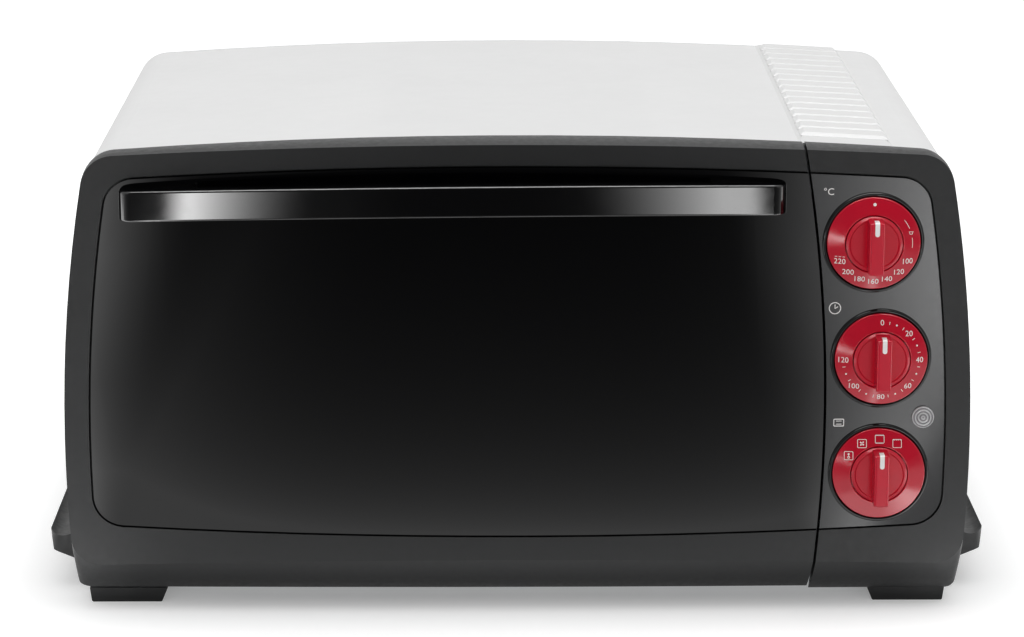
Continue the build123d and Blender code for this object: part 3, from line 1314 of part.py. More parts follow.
def make_panel_facia():
    """Black plate in the panel frame, with a raised well ring round each dial."""
    depth = FRONT_DEPTH + OVERSIZE
    outline_solid = solid_xz(inset_outline(GROOVE), -depth, 0)
    side = split_side(1)
    facia = outline_solid & bowed_slab(0, GLASS_THICKNESS) & side
    hole = DIAL_RADIUS + SLIP
    for name, x in DIAL_X.items():
        z = DIAL_Z[name]
        facia -= rod_y(x, z, hole, -depth, 0)
        ring = rod_y(x, z, hole + WELL_RING_WIDTH, -depth, 0) - rod_y(x, z, hole, -depth, 0)
        ring &= bowed_slab(-WELL_RING_HEIGHT, WELL_RING_HEIGHT + GLASS_THICKNESS)
        front = ring.edges().sort_by(Axis.Y)[:2]
        facia += fillet(front, WELL_RING_EDGE) & side & outline_solid
    return facia - rod_y(LENS_X, LENS_Z, LENS_STEM_RADIUS + SLIP, -depth, 0)


def make_dial(name):
    """Fixed conical ring with a recess for the knob."""
    seat = seat_y(name)
    rim = rim_y(name)
    bore = KNOB_RADIUS + FREE_GAP
    hole = SHAFT_RADIUS + FREE_GAP
    profile = make_face(
        Polyline(
            (hole, seat),
            (DIAL_RADIUS, seat),
            (DIAL_RADIUS, rim),
            (bore, rim - DIAL_CONE),
            (bore, seat - DIAL_FLOOR),
            (hole, seat - DIAL_FLOOR),
            close=True,
        )
    )
    front = [v for v in profile.vertices() if v.Y < rim + SLIP]
    return turned_y(fillet(front, KNOB_BEVEL / 2), DIAL_X[name], DIAL_Z[name])


def knob_front(name):
    """Front of a knob's rim, just proud of its dial."""
    return rim_y(name) - DIAL_CONE - KNOB_BEVEL


def make_knob(name):
    """Round knob with a raised rim and a grip bar across its whole face."""
    back = seat_y(name) - DIAL_FLOOR - FREE_GAP
    front = knob_front(name)
    face = front + KNOB_FACE_DISH
    profile = make_face(
        Polyline(
            (0, back),
            (KNOB_RADIUS, back),
            (KNOB_RADIUS, front + KNOB_BEVEL),
            (KNOB_RADIUS - KNOB_BEVEL, front),
            (KNOB_RADIUS - KNOB_BEVEL - KNOB_RIM, front),
            (KNOB_RADIUS - KNOB_BEVEL - KNOB_RIM - KNOB_FACE_DISH, face),
            (0, face),
            close=True,
        )
    )
    knob = turned_y(profile, 0, 0)
    tip = front - BAR_PROUD
    bar = block(-BAR_WIDTH / 2, BAR_WIDTH / 2, tip, face + OVERCUT, -KNOB_RADIUS, KNOB_RADIUS)
    bar &= rod_y(0, 0, BAR_REACH, tip - OVERCUT, face + 2 * OVERCUT)
    bar = fillet(bar.faces().sort_by(Axis.Y)[0].edges(), BAR_EDGE)
    knob += bar
    knob -= pointer_strip(tip, SLIP / 2, 0)
    knob -= rod_y(0, 0, SHAFT_RADIUS + RUNNING_FIT, face - SHAFT_IN_KNOB, back + OVERCUT)
    return Pos(DIAL_X[name], 0, DIAL_Z[name]) * knob


def pointer_strip(tip, grow, proud):
    """Strip on the upper half of the grip bar's front, bent back over the bar's end."""
    half = POINTER_WIDTH / 2 + grow
    low = BAR_REACH - POINTER_LENGTH - grow
    back = tip + POINTER_RETURN + grow
    strip = block(-half, half, tip - proud, back, low, BAR_REACH + proud)
    inner_y = tip + POINTER_DEPTH + grow
    inner_z = BAR_REACH - POINTER_DEPTH - grow
    strip -= block(-half - OVERCUT, half + OVERCUT, inner_y, back + OVERCUT, low - OVERCUT, inner_z)
    lower = strip.edges().filter_by(Axis.Y).sort_by(Axis.Z)[:2]
    return fillet(lower, half - SLIP)


def make_pointer(name):
    """White insert in the grip bar."""
    strip = pointer_strip(knob_front(name) - BAR_PROUD, 0, POINTER_PROUD)
    corner = strip.edges().filter_by(Axis.X).sort_by(lambda edge: edge.center().Y - edge.center().Z)[0]
    return Pos(DIAL_X[name], 0, DIAL_Z[name]) * fillet(corner, BAR_EDGE + POINTER_PROUD)


def make_shaft(name):
    """Shaft from the knob through the bush into the control's body."""
    front = knob_front(name) + KNOB_FACE_DISH - SHAFT_IN_KNOB + SLIP
    return rod_y(DIAL_X[name], DIAL_Z[name], SHAFT_RADIUS, front, BRACKET_REAR + SHAFT_TAIL)


def make_control_body(name):
    """Control behind the bracket: housing, threaded bush and flat connector tabs."""
    x = DIAL_X[name]
    z = DIAL_Z[name]
    width = BODY_WIDTH[name]
    height = BODY_HEIGHT[name]
    back = BRACKET_REAR + BODY_DEPTH[name]
    outline_xz = Pos(x, z) * RectangleRounded(width, height, BODY_CORNER[name])
    body = solid_xz(outline_xz, BRACKET_REAR, back)
    body += rod_y(x, z, BUSH_RADIUS, BRACKET_SETBACK - BUSH_LENGTH, BRACKET_REAR + OVERCUT)
    for side in (-1, 1):
        tab_x = x + side * TAB_PITCH / 2
        body += block(
            tab_x - TAB_WIDTH / 2,
            tab_x + TAB_WIDTH / 2,
            back - OVERCUT,
            back + TAB_LENGTH,
            z - height / 4 - TAB_HEIGHT / 2,
            z - height / 4 + TAB_HEIGHT / 2,
        )
    bore_end = BRACKET_REAR + SHAFT_TAIL + SLIP
    return body - rod_y(x, z, SHAFT_RADIUS + RUNNING_FIT, BRACKET_SETBACK - BUSH_LENGTH - OVERCUT, bore_end)


def make_control_nuts():
    """Hexagon nuts that clamp the bushes to the bracket."""
    group = []
    for name, x in DIAL_X.items():
        z = DIAL_Z[name]
        hexagon = RegularPolygon(NUT_ACROSS / 2, 6, major_radius=False) - Circle(BUSH_RADIUS + SLIP / 2)
        group.append(solid_xz(Pos(x, z) * hexagon, BRACKET_SETBACK - NUT_THICKNESS, BRACKET_SETBACK))
    return Compound(children=group)


def make_control_bracket():
    """Steel tray behind the front frame that carries the three controls."""
    left = CONTROL_LEFT - CONTROL_SHEET
    right = CONTROL_RIGHT + CONTROL_SHEET
    tray = block(left, right, BRACKET_SETBACK, BRACKET_REAR, CONTROL_BOTTOM, CONTROL_TOP)
    for x in (left, CONTROL_RIGHT):
        tray += block(x, x + CONTROL_SHEET, FRAME_SHEET, BRACKET_REAR, CONTROL_BOTTOM, CONTROL_TOP)
    for name, x in DIAL_X.items():
        tray -= rod_y(x, DIAL_Z[name], BUSH_RADIUS + SLIP, BRACKET_SETBACK - OVERCUT, BRACKET_REAR + OVERCUT)
    return tray


def make_indicator_lens():
    """Clear lens: a low dome on a stem with a pocket for the lamp."""
    face = front_y(LENS_X) - LENS_DOME / 4
    profile = make_face(
        [
            Line((0, face + LENS_STEM), (LENS_STEM_RADIUS, face + LENS_STEM)),
            Line((LENS_STEM_RADIUS, face + LENS_STEM), (LENS_STEM_RADIUS, face)),
            Line((LENS_STEM_RADIUS, face), (LENS_RADIUS, face)),
            Line((LENS_RADIUS, face), (LENS_RADIUS, face - LENS_DOME / 2)),
            Spline(
                (LENS_RADIUS, face - LENS_DOME / 2),
                (LENS_RADIUS * 0.7, face - LENS_DOME),
                (0, face - LENS_DOME * 1.2),
                tangents=[(0, -1), (-1, 0)],
            ),
            Line((0, face - LENS_DOME * 1.2), (0, face + LENS_STEM)),
        ]
    )
    lens = turned_y(profile, LENS_X, LENS_Z)
    back = face + LENS_STEM
    return lens - rod_y(LENS_X, LENS_Z, LAMP_RADIUS + SLIP, back - LAMP_POCKET, back + OVERCUT)


def make_indicator_lamp():
    """Small neon lamp in the lens's pocket."""
    back = front_y(LENS_X) - LENS_DOME / 4 + LENS_STEM
    return rod_y(LENS_X, LENS_Z, LAMP_RADIUS, back - LAMP_POCKET, back - LAMP_POCKET + LAMP_LENGTH)


def make_cord_gland():
    """Tapered cord inlet through the rear cover, with a collar inside."""
    y0 = CASING_DEPTH
    y1 = y0 + COVER_SHEET
    end = y1 + GLAND_REACH
    profile = make_face(
        Polyline(
            (GLAND_BORE, y0 - GLAND_COLLAR),
            (GLAND_RADIUS, y0 - GLAND_COLLAR),
            (GLAND_RADIUS, y0),
            (GLAND_NECK, y0),
            (GLAND_NECK, y1),
            (GLAND_RADIUS, y1),
            (GLAND_RADIUS, y1 + GLAND_FLANGE),
            (GLAND_NECK, y1 + GLAND_FLANGE),
            (GLAND_TIP_RADIUS, end),
            (GLAND_BORE, end),
            close=True,
        )
    )
    return turned_y(profile, GLAND_X, GLAND_Z)


def make_terminal_block():
    """Connector block on the base pan, near the gland."""
    y1 = CASING_DEPTH - BLOCK_SETBACK
    y0 = y1 - BLOCK_DEPTH
    top = BASE_TOP + BLOCK_HEIGHT
    body = block(GLAND_X - BLOCK_WIDTH / 2, GLAND_X + BLOCK_WIDTH / 2, y0, y1, BASE_TOP, top)
    pitch = BLOCK_WIDTH / BLOCK_WAYS
    for number in range(BLOCK_WAYS):
        x = GLAND_X + pitch * (number - (BLOCK_WAYS - 1) / 2)
        body -= rod_z(x, (y0 + y1) / 2, BLOCK_SCREW_RADIUS, top - BLOCK_SCREW_DEPTH, top + OVERCUT)
    return body


def make_wire_rack():
    """Rim of thick wire with cross wires welded on top."""
    z = guide_z(RACK_LEVEL) + SLIDE_GAP + RIM_WIRE
    width = CAVITY_WIDTH - 2 * RACK_SIDE_PLAY - 2 * RIM_WIRE
    length = RACK_LENGTH - 2 * RIM_WIRE
    middle_y = RACK_FRONT + RACK_LENGTH / 2
    loop = Pos(CAVITY_MIDDLE_X, middle_y, z) * RectangleRounded(width, length, RACK_CORNER).wire()
    rack = sweep(Plane(origin=loop @ 0, z_dir=loop % 0) * Circle(RIM_WIRE), loop)
    top = z + RIM_WIRE + CROSS_WIRE / 2
    pitch = width / (CROSS_WIRE_COUNT + 1)
    y0 = RACK_FRONT + RIM_WIRE
    y1 = RACK_FRONT + RACK_LENGTH - RIM_WIRE
    for number in range(CROSS_WIRE_COUNT):
        x = CAVITY_MIDDLE_X - width / 2 + pitch * (number + 1)
        rack += rod_y(x, top, CROSS_WIRE, y0, y1)
    half = width / 2
    return rack + rod_x(middle_y, z, RIM_WIRE, CAVITY_MIDDLE_X - half, CAVITY_MIDDLE_X + half)


def make_pan(width, length, front, rim_z, depth, draft, rim):
    """Pressed tray with sloping walls and a flat rim."""
    place = Pos(CAVITY_MIDDLE_X, front + length / 2, 0)
    low = rim_z - depth

    def level(z, shrink):
        corner = TRAY_CORNER - CRUMB_DRAFT
        return Pos(0, 0, z) * RectangleRounded(width - 2 * shrink, length - 2 * shrink, corner)

    outer = loft([level(low, rim + draft), level(rim_z, rim)])
    slope = rim + TRAY_SHEET
    inner = loft([level(low + TRAY_SHEET, slope + draft), level(rim_z + TRAY_SHEET, slope)])
    plate = solid_xy(RectangleRounded(width, length, TRAY_CORNER), rim_z - TRAY_SHEET, rim_z)
    return place * (outer + plate - inner)


def make_baking_tray():
    """Shallow tray on the lower guides."""
    rim_z = guide_z(TRAY_LEVEL) + SLIDE_GAP + TRAY_SHEET
    width = CAVITY_WIDTH - 2 * RACK_SIDE_PLAY
    return make_pan(width, TRAY_LENGTH, RACK_FRONT, rim_z, TRAY_DEPTH, TRAY_DRAFT, TRAY_RIM)


def make_crumb_tray():
    """Low tray on the cavity floor."""
    rim_z = CAVITY_FLOOR + SLIDE_GAP + CRUMB_HEIGHT
    width = CAVITY_WIDTH - 2 * CRUMB_PLAY
    return make_pan(width, CRUMB_LENGTH, RACK_FRONT, rim_z, CRUMB_HEIGHT, CRUMB_DRAFT, CRUMB_DRAFT)


def build():
    """All nodes by name."""
    moulding = front_moulding()
    nodes = {
        "outer_casing": make_outer_casing(),
        "rear_cover": make_rear_cover(),
        "rear_screws": make_rear_screws(),
        "base_pan": make_base_pan(),
        "foot_screws": make_foot_screws(),
        "side_grip_left": make_side_grip(-1),
        "side_grip_right": make_side_grip(1),
        "front_frame": make_front_frame(),
        "cavity_liner": make_cavity_liner(),
        "cavity_rear_wall": make_cavity_rear_wall(),
        "upper_element": make_element(True),
        "lower_element": make_element(False),
        "element_insulators": make_element_insulators(),
        "cavity_clips": make_cavity_clips(),
        "fan_guard": make_fan_guard(),
        "fan_blade": make_fan_blade(),
        "fan_shaft": make_fan_shaft(),
        "fan_motor": make_fan_motor(),
        "panel_frame": make_panel_frame(moulding),
        "panel_facia": make_panel_facia(),
        "control_bracket": make_control_bracket(),
        "control_nuts": make_control_nuts(),
        "thermostat_bulb": make_thermostat_bulb(),
        "indicator_lens": make_indicator_lens(),
        "indicator_lamp": make_indicator_lamp(),
        "cord_gland": make_cord_gland(),
        "terminal_block": make_terminal_block(),
        "wire_rack": make_wire_rack(),
        "baking_tray": make_baking_tray(),
        "crumb_tray": make_crumb_tray(),
        "door_frame": make_door_frame(moulding),
        "door_glass": make_door_glass(),
        "door_inner_panel": make_door_inner_panel(),
        "door_inner_glass": make_door_inner_glass(),
        "door_seal": make_door_seal(),
        "door_handle": make_door_handle(),
        "handle_screws": make_handle_screws(),
        "hinge_pins": make_hinge_pins(),
        "hinge_springs": make_hinge_springs(),
        "hinge_brackets": make_hinge_brackets(),
        "stay_arm": make_stay_arm(),
    }
    for name, (x, y) in foot_places().items():
        nodes[name] = make_foot(x, y)
    for name in DIAL_X:
        nodes[name + "_dial"] = make_dial(name)
        nodes[name + "_knob"] = make_knob(name)
        nodes[name + "_pointer"] = make_pointer(name)
        nodes[name + "_shaft"] = make_shaft(name)
        nodes[name + "_body"] = make_control_body(name)
    return nodes


os.makedirs("parts", exist_ok=True)
for node, shape in build().items():
    solids = [Pos(0, ORIGIN_SHIFT, 0) * solid for solid in shape.solids()]
    export_step(solids[0] if len(solids) == 1 else Compound(solids), "parts/" + node + ".step")
print("origin shift along y:", ORIGIN_SHIFT)
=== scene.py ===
"""Looks of a countertop mini oven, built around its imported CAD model."""

from math import cos, pi, radians, sin

import bmesh
import bpy
from bpy.props import FloatProperty, FloatVectorProperty, PointerProperty
from mathutils import Matrix, Vector


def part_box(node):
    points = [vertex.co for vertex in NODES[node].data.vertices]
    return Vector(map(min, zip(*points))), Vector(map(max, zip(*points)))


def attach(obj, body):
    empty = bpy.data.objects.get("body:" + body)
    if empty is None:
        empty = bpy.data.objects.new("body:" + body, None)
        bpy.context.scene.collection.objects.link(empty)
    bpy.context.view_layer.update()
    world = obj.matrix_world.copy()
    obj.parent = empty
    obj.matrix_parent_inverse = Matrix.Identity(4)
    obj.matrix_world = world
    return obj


bl_info = {
    "name": "Mini oven finish",
    "version": (1, 0, 0),
    "blender": (4, 5, 0),
    "location": "3D View > Sidebar > Mini oven",
    "description": "Materials, printed marks and a studio for the mini oven",
    "category": "Object",
}

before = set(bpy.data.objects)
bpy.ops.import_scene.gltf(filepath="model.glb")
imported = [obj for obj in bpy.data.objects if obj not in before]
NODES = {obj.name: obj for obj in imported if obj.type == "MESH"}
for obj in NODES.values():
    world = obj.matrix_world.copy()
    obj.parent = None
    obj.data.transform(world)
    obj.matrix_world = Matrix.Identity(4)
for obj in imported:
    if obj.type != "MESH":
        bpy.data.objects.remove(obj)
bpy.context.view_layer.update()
DIALS = ("thermostat", "timer", "selector")
MM = 0.001


def linear(hex_text):
    """An sRGB hex colour as linear red, green, blue and alpha."""
    values = []
    for start in (0, 2, 4):
        value = int(hex_text[start : start + 2], 16) / 255
        values.append(value / 12.92 if value <= 0.04045 else ((value + 0.055) / 1.055) ** 2.4)
    return (*values, 1.0)


def colour(hex_text, name, description):
    """A colour that a user may change."""
    return FloatVectorProperty(
        name=name, description=description, default=linear(hex_text), size=4, min=0, max=1, subtype="COLOR"
    )


def length(default_mm, name, description):
    """A length that a user may change, given in millimetres."""
    return FloatProperty(
        name=name, description=description, default=default_mm * MM, unit="LENGTH", precision=5
    )


def node(tree, kind, inputs=None, **settings):
    """Add a node with its settings. An input is a value, or another node's socket to link."""
    new = tree.nodes.new(kind)
    for name, value in settings.items():
        setattr(new, name, value)
    for name, value in (inputs or {}).items():
        if isinstance(value, bpy.types.NodeSocket):
            tree.links.new(value, new.inputs[name])
        else:
            new.inputs[name].default_value = value
    return new


def new_material(name):
    """An empty material with its shader and output, and the place on the piece."""
    material = bpy.data.materials.new(name)
    material.use_nodes = True
    tree = material.node_tree
    tree.nodes.clear()
    shader = node(tree, "ShaderNodeBsdfPrincipled")
    node(tree, "ShaderNodeOutputMaterial", {"Surface": shader.outputs["BSDF"]})
    place = node(tree, "ShaderNodeTexCoord").outputs["Object"]
    return material, tree, shader, place


def wear(material, *names):
    """Give a material to CAD nodes."""
    for name in names:
        target = NODES[name]
        target.data.materials.clear()
        target.data.materials.append(material)


class ColourSettings(bpy.types.PropertyGroup):
    """Colours of the oven's parts."""

    casing: colour("E0E0E0", "Casing", "Satin white powder coat")
    moulding: colour("141516", "Mouldings", "Textured black of the front, feet and grips")
    facia: colour("1E1F21", "Facia", "Fine satin black of the control facia")
    # The door glass's black is its real dark tint, with the shade of the cavity behind it painted in.
    glass: colour("030304", "Door glass", "Black print on the back of the door's outer glass")
    handle: colour("060607", "Handle", "Gloss black bar")
    dial: colour("C40A2A", "Dials", "Dark red of the dial rings")
    knob: colour("C8142F", "Knobs", "Red of the knobs")
    ink: colour("F2F0EE", "Ink", "White print on the dials and the facia")
    enamel: colour("3A3B3D", "Enamel", "Dark grey enamel of the cavity")


class PrintSettings(bpy.types.PropertyGroup):
    """Sizes of the printed marks."""

    digit_height: length(2.75, "Digit height", "Height of the numbers on the dials")
    circle_radius: length(18.6, "Mark circle", "Radius on which the marks stand")
    tick_length: length(1.5, "Tick length", "Length of a tick between the numbers")
    line_width: length(0.42, "Line width", "Width of a printed line")
    fine_width: length(0.28, "Fine line width", "Width of a tick or an icon's line")
    dot_radius: length(0.45, "Dot radius", "Radius of a dot between the ticks")
    icon_size: length(4.6, "Icon size", "Width of the function icons on the selector")
    ink_height: length(0.05, "Ink height", "How far the ink stands out")
    clock_radius: length(3.0, "Clock radius", "Radius of the clock sign over the timer")
    sign_height: length(3.4, "Sign height", "Height of the degree sign over the thermostat")


class StageSettings(bpy.types.PropertyGroup):
    """Camera and light of the studio."""

    lens: FloatProperty(
        name="Lens", description="Focal length on a 36 mm sensor", default=129.82, unit="CAMERA"
    )
    key_power: FloatProperty(
        name="Overhead light", description="Power of the large overhead light", default=15.6
    )
    world_level: FloatProperty(name="Room light", description="Level of the room's own light", default=0.6)


def micro_bump(tree, place, size_mm, depth_mm, strength, detail=2.0):
    """Bump of an even moulded or painted grain of one real size."""
    grain = node(
        tree,
        "ShaderNodeTexNoise",
        {"Vector": place, "Scale": 1 / (size_mm * MM), "Detail": detail, "Roughness": 0.5},
    )
    bump = node(
        tree,
        "ShaderNodeBump",
        {"Height": grain.outputs["Fac"], "Strength": strength, "Distance": depth_mm * MM},
    )
    return bump.outputs["Normal"]


def mottle(tree, place, size_mm, low, high):
    """A value that drifts between two levels over a patch size."""
    noise = node(tree, "ShaderNodeTexNoise", {"Vector": place, "Scale": 1 / (size_mm * MM), "Detail": 3.0})
    spread = node(
        tree,
        "ShaderNodeMapRange",
        {"Value": noise.outputs["Fac"], "From Min": 0.3, "From Max": 0.7, "To Min": low, "To Max": high},
    )
    return spread.outputs["Result"]


def tinted(tree, place, base, size_mm, amount):
    """The base colour, drifting a little lighter and darker over a patch size."""
    level = mottle(tree, place, size_mm, 1 - amount, 1 + amount)
    shade = node(tree, "ShaderNodeHueSaturation", {"Color": base, "Value": level})
    return shade.outputs["Color"]


def powder_coated_steel(base):
    """Steel sheet with a satin white powder coat: even, with the soft orange peel of baked powder."""
    material, tree, shader, place = new_material("powder_coated_steel_satin")
    # Orange peel has waves of about 1.5 mm, drawn at 2.2 mm so that it shows.
    normal = micro_bump(tree, place, 2.2, 0.03, 0.22)
    tree.links.new(normal, shader.inputs["Normal"])
    tree.links.new(tinted(tree, place, base, 60, 0.012), shader.inputs["Base Color"])
    tree.links.new(mottle(tree, place, 8, 0.38, 0.46), shader.inputs["Roughness"])
    shader.inputs["IOR"].default_value = 1.5
    return material


def moulded_abs(base, name, grain_mm, rough_low, rough_high, strength, sheen):
    """ABS moulded in a spark-eroded tool: a fine even grain that breaks up its sheen."""
    material, tree, shader, place = new_material(name)
    normal = micro_bump(tree, place, grain_mm, 0.06, strength, 3.0)
    tree.links.new(normal, shader.inputs["Normal"])
    tree.links.new(tinted(tree, place, base, 25, 0.05), shader.inputs["Base Color"])
    tree.links.new(mottle(tree, place, 3, rough_low, rough_high), shader.inputs["Roughness"])
    shader.inputs["IOR"].default_value = 1.5
    shader.inputs["Specular IOR Level"].default_value = sheen
    return material


def polished_abs(base, name, roughness, sheen=0.5):
    """ABS from a polished tool: wet gloss with the faintest flow waves."""
    material, tree, shader, place = new_material(name)
    # Flow waves of a polished moulding are about 12 mm long.
    normal = micro_bump(tree, place, 12, 0.01, 0.08, 1.0)
    tree.links.new(normal, shader.inputs["Normal"])
    tree.links.new(tinted(tree, place, base, 9, 0.03), shader.inputs["Base Color"])
    tree.links.new(mottle(tree, place, 5, roughness * 0.85, roughness * 1.15), shader.inputs["Roughness"])
    shader.inputs["IOR"].default_value = 1.52
    shader.inputs["Specular IOR Level"].default_value = sheen
    return material


def dark_glass_painted_shade(base):
    """Toughened float glass, dark and opaque under a flat clear gloss: its real dark tint, with the shade of
    the unlit cavity behind it painted in as black.
    """
    material, tree, shader, place = new_material("toughened_glass_dark_painted_shade")
    # Toughening leaves roller waves of about 90 mm, far too shallow to see except in reflections.
    normal = micro_bump(tree, place, 90, 0.02, 0.05, 0.0)
    tree.links.new(normal, shader.inputs["Normal"])
    # Base colour: the glass's dark tint, with the painted shade of the cavity behind it.
    tree.links.new(tinted(tree, place, base, 40, 0.05), shader.inputs["Base Color"])
    tree.links.new(mottle(tree, place, 30, 0.02, 0.035), shader.inputs["Roughness"])
    shader.inputs["IOR"].default_value = 1.5
    return material


def clear_glass():
    """Clear toughened glass: a pale green tint, and light straight through."""
    material, tree, shader, place = new_material("toughened_glass_clear")
    tree.links.new(tinted(tree, place, linear("EDF5F1"), 50, 0.01), shader.inputs["Base Color"])
    tree.links.new(mottle(tree, place, 30, 0.01, 0.03), shader.inputs["Roughness"])
    shader.inputs["Transmission Weight"].default_value = 1.0
    shader.inputs["IOR"].default_value = 1.5
    return material


def lens_polycarbonate():
    """Clear moulded polycarbonate with the fine rings of a pressed signal lens, and the rings' light and
    dark painted into its colour.
    """
    material, tree, shader, place = new_material("polycarbonate_ringed_lens")
    low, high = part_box("indicator_lens")
    centre = (low + high) / 2
    shift = node(tree, "ShaderNodeVectorMath", {0: place, 1: tuple(centre)}, operation="SUBTRACT")
    # Pressed rings are 1.5 mm apart. The wave turns once over pi / 10 of its own units.
    rings = node(
        tree,
        "ShaderNodeTexWave",
        {"Vector": shift.outputs["Vector"], "Scale": pi / 10 / (1.5 * MM), "Distortion": 0.0},
        wave_type="RINGS",
        rings_direction="Y",
    )
    bump = node(
        tree,
        "ShaderNodeBump",
        {"Height": rings.outputs["Fac"], "Strength": 0.9, "Distance": 0.25 * MM},
    )
    tree.links.new(bump.outputs["Normal"], shader.inputs["Normal"])
    # The colour steps between dark and light grey with the rings: painted reflections on the pressed rings
    # of clear plastic.
    shade = node(
        tree,
        "ShaderNodeMix",
        {"A": linear("77777A"), "B": linear("E6E6E8")},
        data_type="RGBA",
    )
    tree.links.new(rings.outputs["Fac"], shade.inputs["Factor"])
    tree.links.new(shade.outputs["Result"], shader.inputs["Base Color"])
    shader.inputs["Roughness"].default_value = 0.12
    shader.inputs["Transmission Weight"].default_value = 0.35
    shader.inputs["IOR"].default_value = 1.58
    return material


def white_ink(base):
    """Screen-printed white ink: flat and slightly uneven."""
    material, tree, shader, place = new_material("screen_printed_ink_white")
    normal = micro_bump(tree, place, 0.6, 0.01, 0.2)
    tree.links.new(normal, shader.inputs["Normal"])
    tree.links.new(tinted(tree, place, base, 2, 0.04), shader.inputs["Base Color"])
    shader.inputs["Roughness"].default_value = 0.5
    return material


def vitreous_enamel(base, name):
    """Glass enamel fired on steel: dark, glossy, with fine pale specks and a ripple."""
    material, tree, shader, place = new_material(name)
    normal = micro_bump(tree, place, 4, 0.05, 0.25)
    # Specks of speckled enamel are about 0.5 mm, drawn 2.4 mm apart so that they show.
    cells = node(tree, "ShaderNodeTexVoronoi", {"Vector": place, "Scale": 1 / (2.4 * MM), "Randomness": 1.0})
    speck = node(
        tree,
        "ShaderNodeMapRange",
        {
            "Value": cells.outputs["Distance"],
            "From Min": 0.08,
            "From Max": 0.2,
            "To Min": 0.55,
            "To Max": 0.0,
        },
    )
    mix = node(
        tree,
        "ShaderNodeMix",
        {"Factor": speck.outputs["Result"], "A": tinted(tree, place, base, 30, 0.08), "B": linear("8A8C8F")},
        data_type="RGBA",
    )
    tree.links.new(mix.outputs["Result"], shader.inputs["Base Color"])
    tree.links.new(normal, shader.inputs["Normal"])
    tree.links.new(mottle(tree, place, 6, 0.16, 0.28), shader.inputs["Roughness"])
    shader.inputs["IOR"].default_value = 1.5
    return material


def zinc_plated_steel():
    """Zinc-dipped steel sheet: grey, with the broad crystals called spangle."""
    material, tree, shader, place = new_material("galvanised_steel_spangle")
    # Spangle crystals are about 9 mm across, and each has a shade of its own.
    cells = node(tree, "ShaderNodeTexVoronoi", {"Vector": place, "Scale": 1 / (9 * MM), "Randomness": 1.0})
    level = node(
        tree,
        "ShaderNodeMapRange",
        {"Value": cells.outputs["Color"], "From Min": 0.0, "From Max": 1.0, "To Min": 0.9, "To Max": 1.08},
    )
    shade = node(
        tree, "ShaderNodeHueSaturation", {"Color": linear("B4B7B9"), "Value": level.outputs["Result"]}
    )
    tree.links.new(shade.outputs["Color"], shader.inputs["Base Color"])
    tree.links.new(mottle(tree, place, 9, 0.32, 0.5), shader.inputs["Roughness"])
    normal = micro_bump(tree, place, 1.5, 0.02, 0.15)
    tree.links.new(normal, shader.inputs["Normal"])
    shader.inputs["Metallic"].default_value = 1.0
    return material


def turned_metal(base, name, low, high, grain_mm=1.2):
    """Plain worked metal with a light tooling grain."""
    material, tree, shader, place = new_material(name)
    normal = micro_bump(tree, place, grain_mm, 0.02, 0.2)
    tree.links.new(normal, shader.inputs["Normal"])
    tree.links.new(tinted(tree, place, base, 7, 0.06), shader.inputs["Base Color"])
    tree.links.new(mottle(tree, place, 4, low, high), shader.inputs["Roughness"])
    shader.inputs["Metallic"].default_value = 1.0
    return material


def dull_surface(base, name, grain_mm, roughness, strength):
    """A dull non-metal surface, such as fired clay or rubber, with its own grain."""
    material, tree, shader, place = new_material(name)
    normal = micro_bump(tree, place, grain_mm, 0.05, strength)
    tree.links.new(normal, shader.inputs["Normal"])
    tree.links.new(tinted(tree, place, base, 6, 0.06), shader.inputs["Base Color"])
    tree.links.new(mottle(tree, place, 4, roughness * 0.92, roughness), shader.inputs["Roughness"])
    return material


# Printed marks


